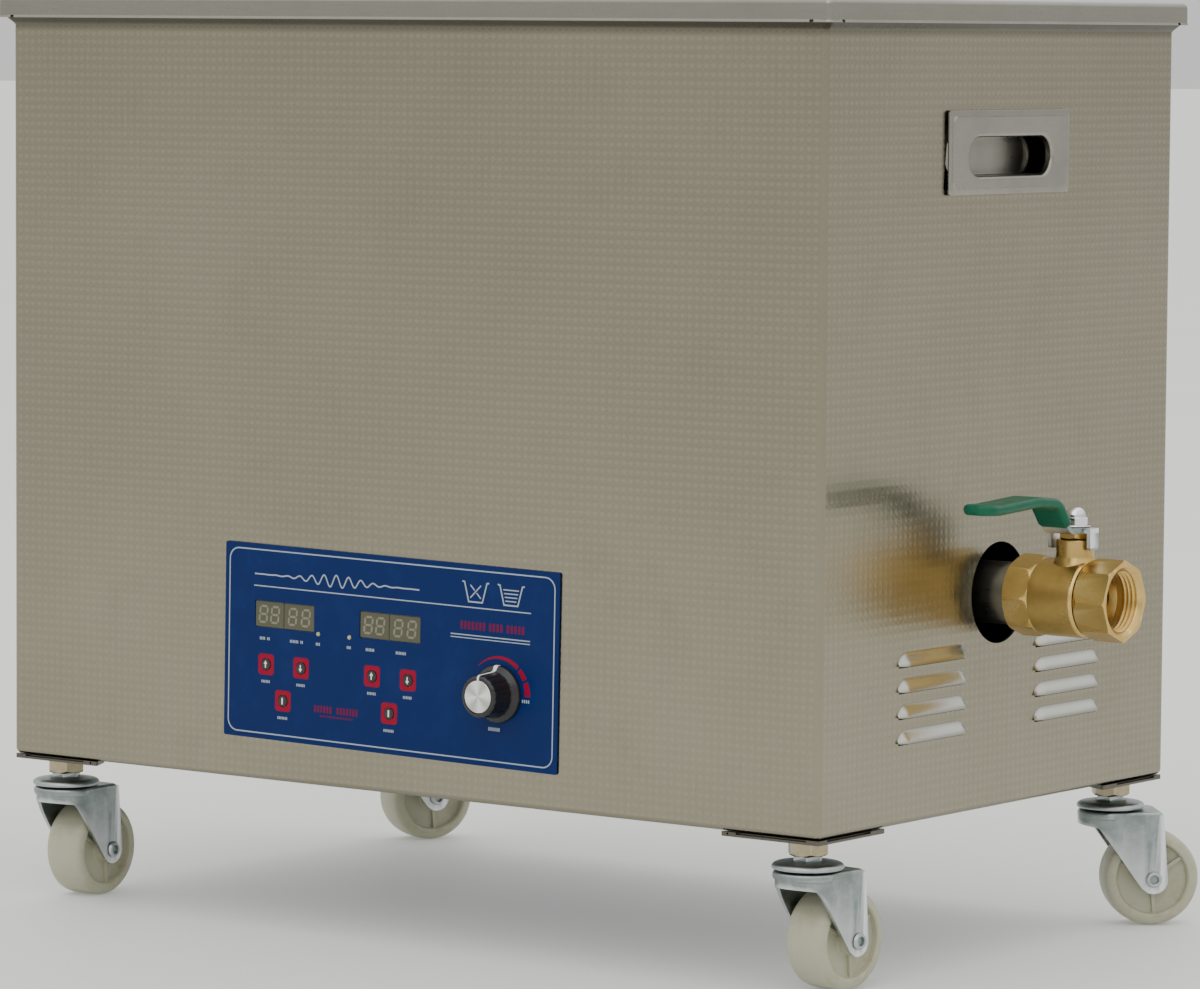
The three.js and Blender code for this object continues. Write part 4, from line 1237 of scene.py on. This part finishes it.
def fork_shape():
    outline = [(TRAIL + 5, 15.6, 3), (TRAIL + 5, -15.6, 3), (4, -15.6, 8)]
    turns = [math.radians(-100 - 160 * i / 32) for i in range(33)]
    outline += [(17.6 * math.cos(turn), 17.6 * math.sin(turn)) for turn in turns]
    outline = fillet(outline + [(4, 15.6, 8)])
    rounding = ((0.94, 57.4), (0.975, 57.7), (0.995, 58.4), (1.0, 59.3), (0.995, 60.3), (0.975, 61.0),
                (0.94, 61.4), (0.9, 61.5))
    crown = loft([[(x * scale, y * scale, z) for x, y in outline] for scale, z in rounding])
    pan = lathe([(0, 61.2), (13.5, 61.2), (12.8, 61.9), (11.5, 62.1), (0, 62.1)], 48)
    shape = weld(fork_wall(), crown, pan)
    hole = rod(4.3, 40, 70, 32)
    axle = shifted(turned(rod(3.3, -20, 20, 24), 90, "X"), TRAIL, 0, WHEEL)
    return cut(cut(shape, hole), axle)


def wheel_shape():
    """An ivory wheel with a rounded tread, a shallow recessed web and three low ribs from hub to rim."""
    side = [(3.4, 13), (6.4, 13), (7, 12.5), (7.6, 8.8), (8.4, 8.2), (17.4, 8.2), (18.4, 8.8), (19.2, 11.4),
            (20, 12), (21.6, 12),
            (23.4, 11.4), (24.7, 10), (25.3, 7.6), (WHEEL, 3), (WHEEL, 0)]
    profile = side + [(radius, -height) for radius, height in reversed(side[:-1])]
    wheel = lathe(profile, 80, ring=True)
    ribs = [turned(block((6.6, 19.6), (-1.0, 1.0), (-9.8, 9.8)), 120 * i + 35, "Z") for i in range(3)]
    return weld(wheel, joined(ribs))


def build_casters():
    for name in CORNERS:
        post = anchor(f"swivel_{name}_turn")
        hub = anchor(f"wheel_{name}_roll")
        at = Vector((post.x, post.y, 0))
        heading = Matrix.Rotation(math.atan2(hub.y - post.y, hub.x - post.x), 4, "Z")
        nut = cut(hex_blank(18.5, 69.3, 77.2, 1.3, 0.4), rod(5.3, 68, 79, 32))
        piece(f"caster_{name}_nut", turned(nut, 12, "Z"), "yellow_zinc", "cabinet", "yellow_zinc", at,
              replaces=[f"caster_nut_{name}"], bevel=0.25)
        race = lathe([
            (0, 56.5), (6.6, 56.5), (7, 56.9), (7, 59.0), (6.6, 59.2), (4, 59.2), (4, 62.4), (16.8, 62.4),
            (17.7, 62.7), (18.1, 63.4),
            (18, 64.3), (17.3, 65.2), (16, 65.8), (13.6, 66.2), (11, 66.4), (9.2, 66.9), (5, 66.9), (5, 90),
            (0, 90),
        ], 72)
        shoulder = hex_blank(13.8, 66.6, 69.1, 0.4, 0.3)
        piece(f"caster_{name}_race", weld(race, shoulder), "zinc", "cabinet", "zinc_steel", at,
              replaces=[f"caster_stem_{name}"])
        piece(f"caster_{name}_yoke", fork_shape(), "zinc", f"swivel_{name}", "zinc_steel", at, heading,
              [f"caster_fork_{name}"], sharp=38)
        axle_at = Vector((hub.x, hub.y, hub.z))
        across = heading @ Matrix.Rotation(math.pi / 2, 4, "X")
        side = [(3, 15.9), (4.3, 15.9), (4.3, 16.5), (3.8, 17.3), (2.9, 17.6), (2.3, 17.3), (2.0, 16.2),
                (0, 16.2)]
        rivet = [(radius, -height) for radius, height in reversed(side)] + side
        piece(f"caster_{name}_rivet", lathe(rivet, 48), "zinc", f"swivel_{name}", "zinc_steel", axle_at,
              across,
              [f"caster_axle_{name}"])
        piece(f"caster_{name}_roller", wheel_shape(), "nylon", f"wheel_{name}", "ivory_nylon", axle_at,
              across,
              [f"caster_wheel_{name}"], bevel=0.2)


# ------------------------------------------------------------------ inside the cabinet

def build_transducers():
    """Transducers under the basin: a flared front mass, two ceramic rings, a back mass and a bolt."""
    for i in range(1, 5):
        node = f"transducer_{i}"
        at = Vector((middle(node).x, middle(node).y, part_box(node)[1].z))
        masses = weld(
            lathe([(0, 0), (24.6, 0), (25, -0.4), (25, -3.6), (24.4, -4.4), (17, -23.4), (16.6, -24.6),
                   (6, -24.6), (6, -35.4), (17.6, -35.4),
                   (18, -35.8), (18, -48.6), (17.4, -49), (0, -49)], 64),
            hex_blank(11, -54, -48.6, 0.6, 0.2),
        )
        piece(f"{node}_masses", masses, "alloy", "cabinet", "transducer_metal", at, replaces=[node])
        rings = joined([
            lathe([(6.4, low_z), (16.8, low_z), (17, low_z + 0.2), (17, low_z + 4.4), (16.8, low_z + 4.6),
                   (6.4, low_z + 4.6)], 64, ring=True)
            for low_z in (-35, -29.8)
        ])
        piece(f"{node}_ceramics", rings, "ceramic", "cabinet", "transducer_metal", at)
        tab = fillet([(-3, 14), (3, 14), (3, 22, 1.5), (-3, 22, 1.5)])
        tabs = joined([prism(tab, z, z + 0.4) for z in (-30.2, -24.9)])
        piece(f"{node}_electrodes", tabs, "copper", "cabinet", "transducer_metal", at)


def build_boards():
    at = Vector((middle("generator_board").x, middle("generator_board").y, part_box("generator_board")[0].z))
    board = prism(rectangle(180, 120, 2.5), 10.4, 12)
    posts = [shifted(lathe([(0, 0), (4, 0), (4, 10), (2, 10), (2, 13.5), (3.4, 13.5), (3.2, 14.6),
                            (0, 14.8)], 24), x, y) for x in (-82, 82) for y in (-52, 52)]
    shape = weld(cut(board, *[shifted(rod(1.6, 9, 13, 16), x, y) for x in (-60, 70) for y in (-25, 30)]),
                 joined(posts))
    piece("generator_pcb", shape, "board", "cabinet", "circuit_board", at, replaces=["generator_board"],
          bevel=0.15)
    fins = [block((-80 + 10 * i, -77 + 10 * i), (-30, 20), (14, 51.5)) for i in range(10)]
    sink = weld(block((-80.4, 13.4), (-30.4, 20.4), (12.2, 17)), joined(fins))
    piece("generator_heat_sink", sink, "alloy", "cabinet", "transducer_metal", at, bevel=0.3)
    cans = [shifted(lathe([(0, 12), (9, 12), (9, 13.5), (8.6, 14.5), (9, 15.5), (9, 38), (8.4, 39),
                           (0, 39.2)], 40), x, y) for x, y in ((38, -6), (60, -6), (38, 17), (60, 17))]
    piece("generator_capacitors", joined(cans), "black", "cabinet", "circuit_board", at)
    turns = []
    for i in range(22):
        a = 2 * math.pi * i / 22
        ring = lathe([(8.2 + 1.3 * math.cos(t),
                       1.3 * math.sin(t)) for t in (math.pi / 4 * k for k in range(8))], 24, ring=True)
        turns.append(shifted(moved(ring, Matrix.Rotation(a, 4,
            "Z") @ Matrix.Translation((12.5, 0, 0)) @ Matrix.Rotation(math.pi / 2, 4, "X")), 48, -44, 21.8))
    piece("generator_choke", joined(turns), "copper", "cabinet", "circuit_board", at)
    holes = [shifted(rod(1.6, -12, -8, 16), u, v) for u in (-88, 58) for v in (-38, 26)]
    chips = [block((u - 6, u + 6), (v - 3.5, v + 3.5), (-13.5, -10.7)) for u,
             v in ((-40, -8), (-20, -30), (20, -30))]
    chips.append(block((40, 56), (0, 22), (-16, -10.7)))
    shape = weld(cut(prism(rectangle(154, 72, 2, -15, -6), -10.9, -9.3), *holes), joined(chips))
    piece("control_pcb", shape, "board", "cabinet", "circuit_board", **ON_PANEL, replaces=["control_board"],
          bevel=0.2)
    case = [(3.2, -14), (7.7, -14), (8, -13.7), (8, -5), (7.6, -4.2), (4.5, -3.8), (4.5, 0.7), (4.2, 0.8),
            (3.2, 0.8)]
    piece("potentiometer_case", lathe(case, 48, ring=True), "zinc", "cabinet", "zinc_steel", **ON_DIAL,
          replaces=["potentiometer"])
    shaft = [(0, -22), (2.8, -22), (3, -21.8), (3, 13.6), (2.7, 14), (0, 14)]
    shape = cut(lathe(shaft, 40), block((-0.5, 0.5), (-4, 4), (10, 15)))
    piece("knob_shaft_split", shape, "alloy", "power_knob", "polished_steel", **ON_DIAL,
          replaces=["knob_shaft"])


def build_heater():
    low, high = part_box("heater_pad")
    at = middle("heater_pad")
    width, height = (high.x - low.x) / MM, (high.z - low.z) / MM
    mat = prism(rectangle(width, height, 5), -0.9, 0.5)
    rib = [shifted(moved(rod(0.55, -width / 2 + 14, width / 2 - 14, 10), FACING_RIGHT), 0, y, 0.45)
           for y in (-36 + 8 * i for i in range(10))]
    shape = weld(mat, joined(rib))
    piece("heater_mat", shape, "silicone", "cabinet", "silicone", at, FACING_FRONT, ["heater_pad"],
          bevel=0.2)


def build_inlet():
    """The appliance inlet in the back wall, with its earth and line pins and two screws."""
    at = Vector((middle("power_inlet").x, CENTRE.y + HALF_DEPTH * MM, middle("power_inlet").z))
    back = Matrix.Rotation(math.pi, 4, "Z") @ FACING_FRONT
    flange = prism(rectangle(48, 28, 3.5), 0.3, 2.8)
    rim = prism(fillet([(-14, -10, 1.5), (14, -10, 1.5), (14, 6, 4), (10, 10, 2), (-10, 10, 2),
                        (-14, 6, 4)]), -19.5, 3.0)
    socket = prism(fillet([(-12, -8, 1), (12, -8, 1), (12, 4.5, 2.5), (8.5, 8, 1.5), (-8.5, 8, 1.5),
                           (-12, 4.5, 2.5)]), -13, 4)
    shape = cut(weld(flange, rim), socket)
    pins = [block((u - 1, u + 1), (v - 2, v + 2), (-14, -2)) for u, v in ((-7, -1.5), (0, 2.5), (7, -1.5))]
    piece("inlet_shell", shape, "black", "cabinet", "black_plastic", at, back, ["power_inlet"], bevel=0.3)
    piece("inlet_pins", joined(pins), "alloy", "cabinet", "polished_steel", at, back, bevel=0.3)
    screws = []
    for u in (-19, 19):
        head = lathe([(0, 2.7), (2.9, 2.7), (2.9, 3.2), (2.2, 3.9), (1, 4.1), (0, 4.1)], 32)
        screws.append(shifted(cut(head, block((-2, 2), (-0.35, 0.35), (3.5, 5))), u))
    piece("inlet_screws", joined(screws), "zinc", "cabinet", "zinc_steel", at, back)


def build_base():
    low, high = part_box("base_plate")
    inset = ((high.x - low.x) / MM - 2 * HALF_WIDTH) / 2
    plate = prism(rectangle(2 * (HALF_WIDTH + inset), 2 * (HALF_DEPTH + inset), 1.2), low.z / MM,
                  high.z / MM)
    tools = []
    for name in CORNERS:
        post = (anchor(f"swivel_{name}_turn") - CENTRE) / MM
        tools.append(shifted(rod(5.6, 78, 86, 32), post.x, post.y))
    for row in range(5):
        for column in range(9):
            tools.append(shifted(prism(rectangle(22, 3, 1.45, steps=4), 78, 86), -120 + 30 * column,
                                 -20 + 10 * row))
    piece("base_sheet", cut(plate, *tools), "zinc", "cabinet", "zinc_steel", CENTRE,
          replaces=["base_plate"], bevel=0.2)


# ------------------------------------------------------------------ floor, light and camera

def floor_material():
    material, tree, shader = surface("floor", roughness=0.55, Specular_IOR_Level=0.1, Emission_Strength=0.2,
                                     Emission_Color=(1, 1, 0.98, 1))
    cloud = noise(tree, 2.5, 4)
    feed(tree, shader, tint(tree, cloud, (0.62, 0.62, 0.61), (0.66, 0.66, 0.65)),
         spread(tree, cloud, 0.3, 0.7, 0.5, 0.62),
         bump(tree, noise(tree, 160, 3), 0.05))
    return material


def build_stage():
    floor = bmesh.new()
    bmesh.ops.create_circle(floor, cap_ends=True, segments=96, radius=45)
    mesh = bpy.data.meshes.new("floor")
    floor.to_mesh(mesh)
    floor.free()
    mesh.materials.append(floor_material())
    obj = bpy.data.objects.new("floor", mesh)
    bpy.context.scene.collection.objects.link(obj)
    world = bpy.data.worlds.new("studio")
    bpy.context.scene.world = world
    world.use_nodes = True
    tree = world.node_tree
    parts = axes(tree, "Generated")
    sky = add(tree, "ValToRGB", parts[2])
    stops = ((0.0, 0.50), (0.2, 0.56), (0.5, 0.92), (1.0, 1.0))
    for i, (where, level) in enumerate(stops):
        stop = sky.color_ramp.elements[i] if i < 2 else sky.color_ramp.elements.new(where)
        stop.position = where
        stop.color = (level, level, level * 0.99, 1)
    tree.links.new(sky.outputs["Color"], tree.nodes["Background"].inputs["Color"])
    tree.nodes["Background"].inputs["Strength"].default_value = 1.5
    lights = {
        "key": ((0.9, -3.0, 3.4), 3.6, 40),
        "top": ((0.0, 0.4, 3.6), 3.6, 24),
    }
    for name, (where, size, power) in lights.items():
        light = bpy.data.lights.new(name, "AREA")
        light.size = size
        light.energy = power
        lamp = bpy.data.objects.new(name, light)
        lamp.location = where
        lamp.rotation_euler = (Vector((0, 0, 0.25)) - Vector(where)).to_track_quat("-Z", "Y").to_euler()
        bpy.context.scene.collection.objects.link(lamp)


# The camera, fitted to the photograph: metres from the cabinet's middle, and angles in radians.
CAMERA_AT = (1.80336, -2.41775, 0.4747)
CAMERA_HEADING, CAMERA_DOWN, CAMERA_ROLL = 0.6382, 0.0825, 0.0071
FOCAL_LENGTH, SENSOR_WIDTH = 169.08, 36


def build_camera():
    lens = bpy.data.cameras.new("camera")
    lens.lens = FOCAL_LENGTH
    lens.sensor_width = SENSOR_WIDTH
    lens.clip_start, lens.clip_end = 0.1, 60
    camera = bpy.data.objects.new("camera", lens)
    heading = Matrix.Rotation(CAMERA_HEADING, 4, "Z")
    tip = Matrix.Rotation(math.pi / 2 - CAMERA_DOWN, 4, "X")
    roll = Matrix.Rotation(CAMERA_ROLL, 4, "Z")
    camera.matrix_world = Matrix.Translation(CENTRE + Vector(CAMERA_AT)) @ (heading @ tip @ roll)
    bpy.context.scene.collection.objects.link(camera)
    bpy.context.scene.camera = camera


build_tank()
build_housing()
build_corner_plates()
build_base()
build_panel()
build_keys()
build_knob()
build_handles()
build_pipe()
build_valve()
build_ball()
build_lever()
build_casters()
build_transducers()
build_boards()
build_heater()
build_inlet()
build_stage()
build_camera()
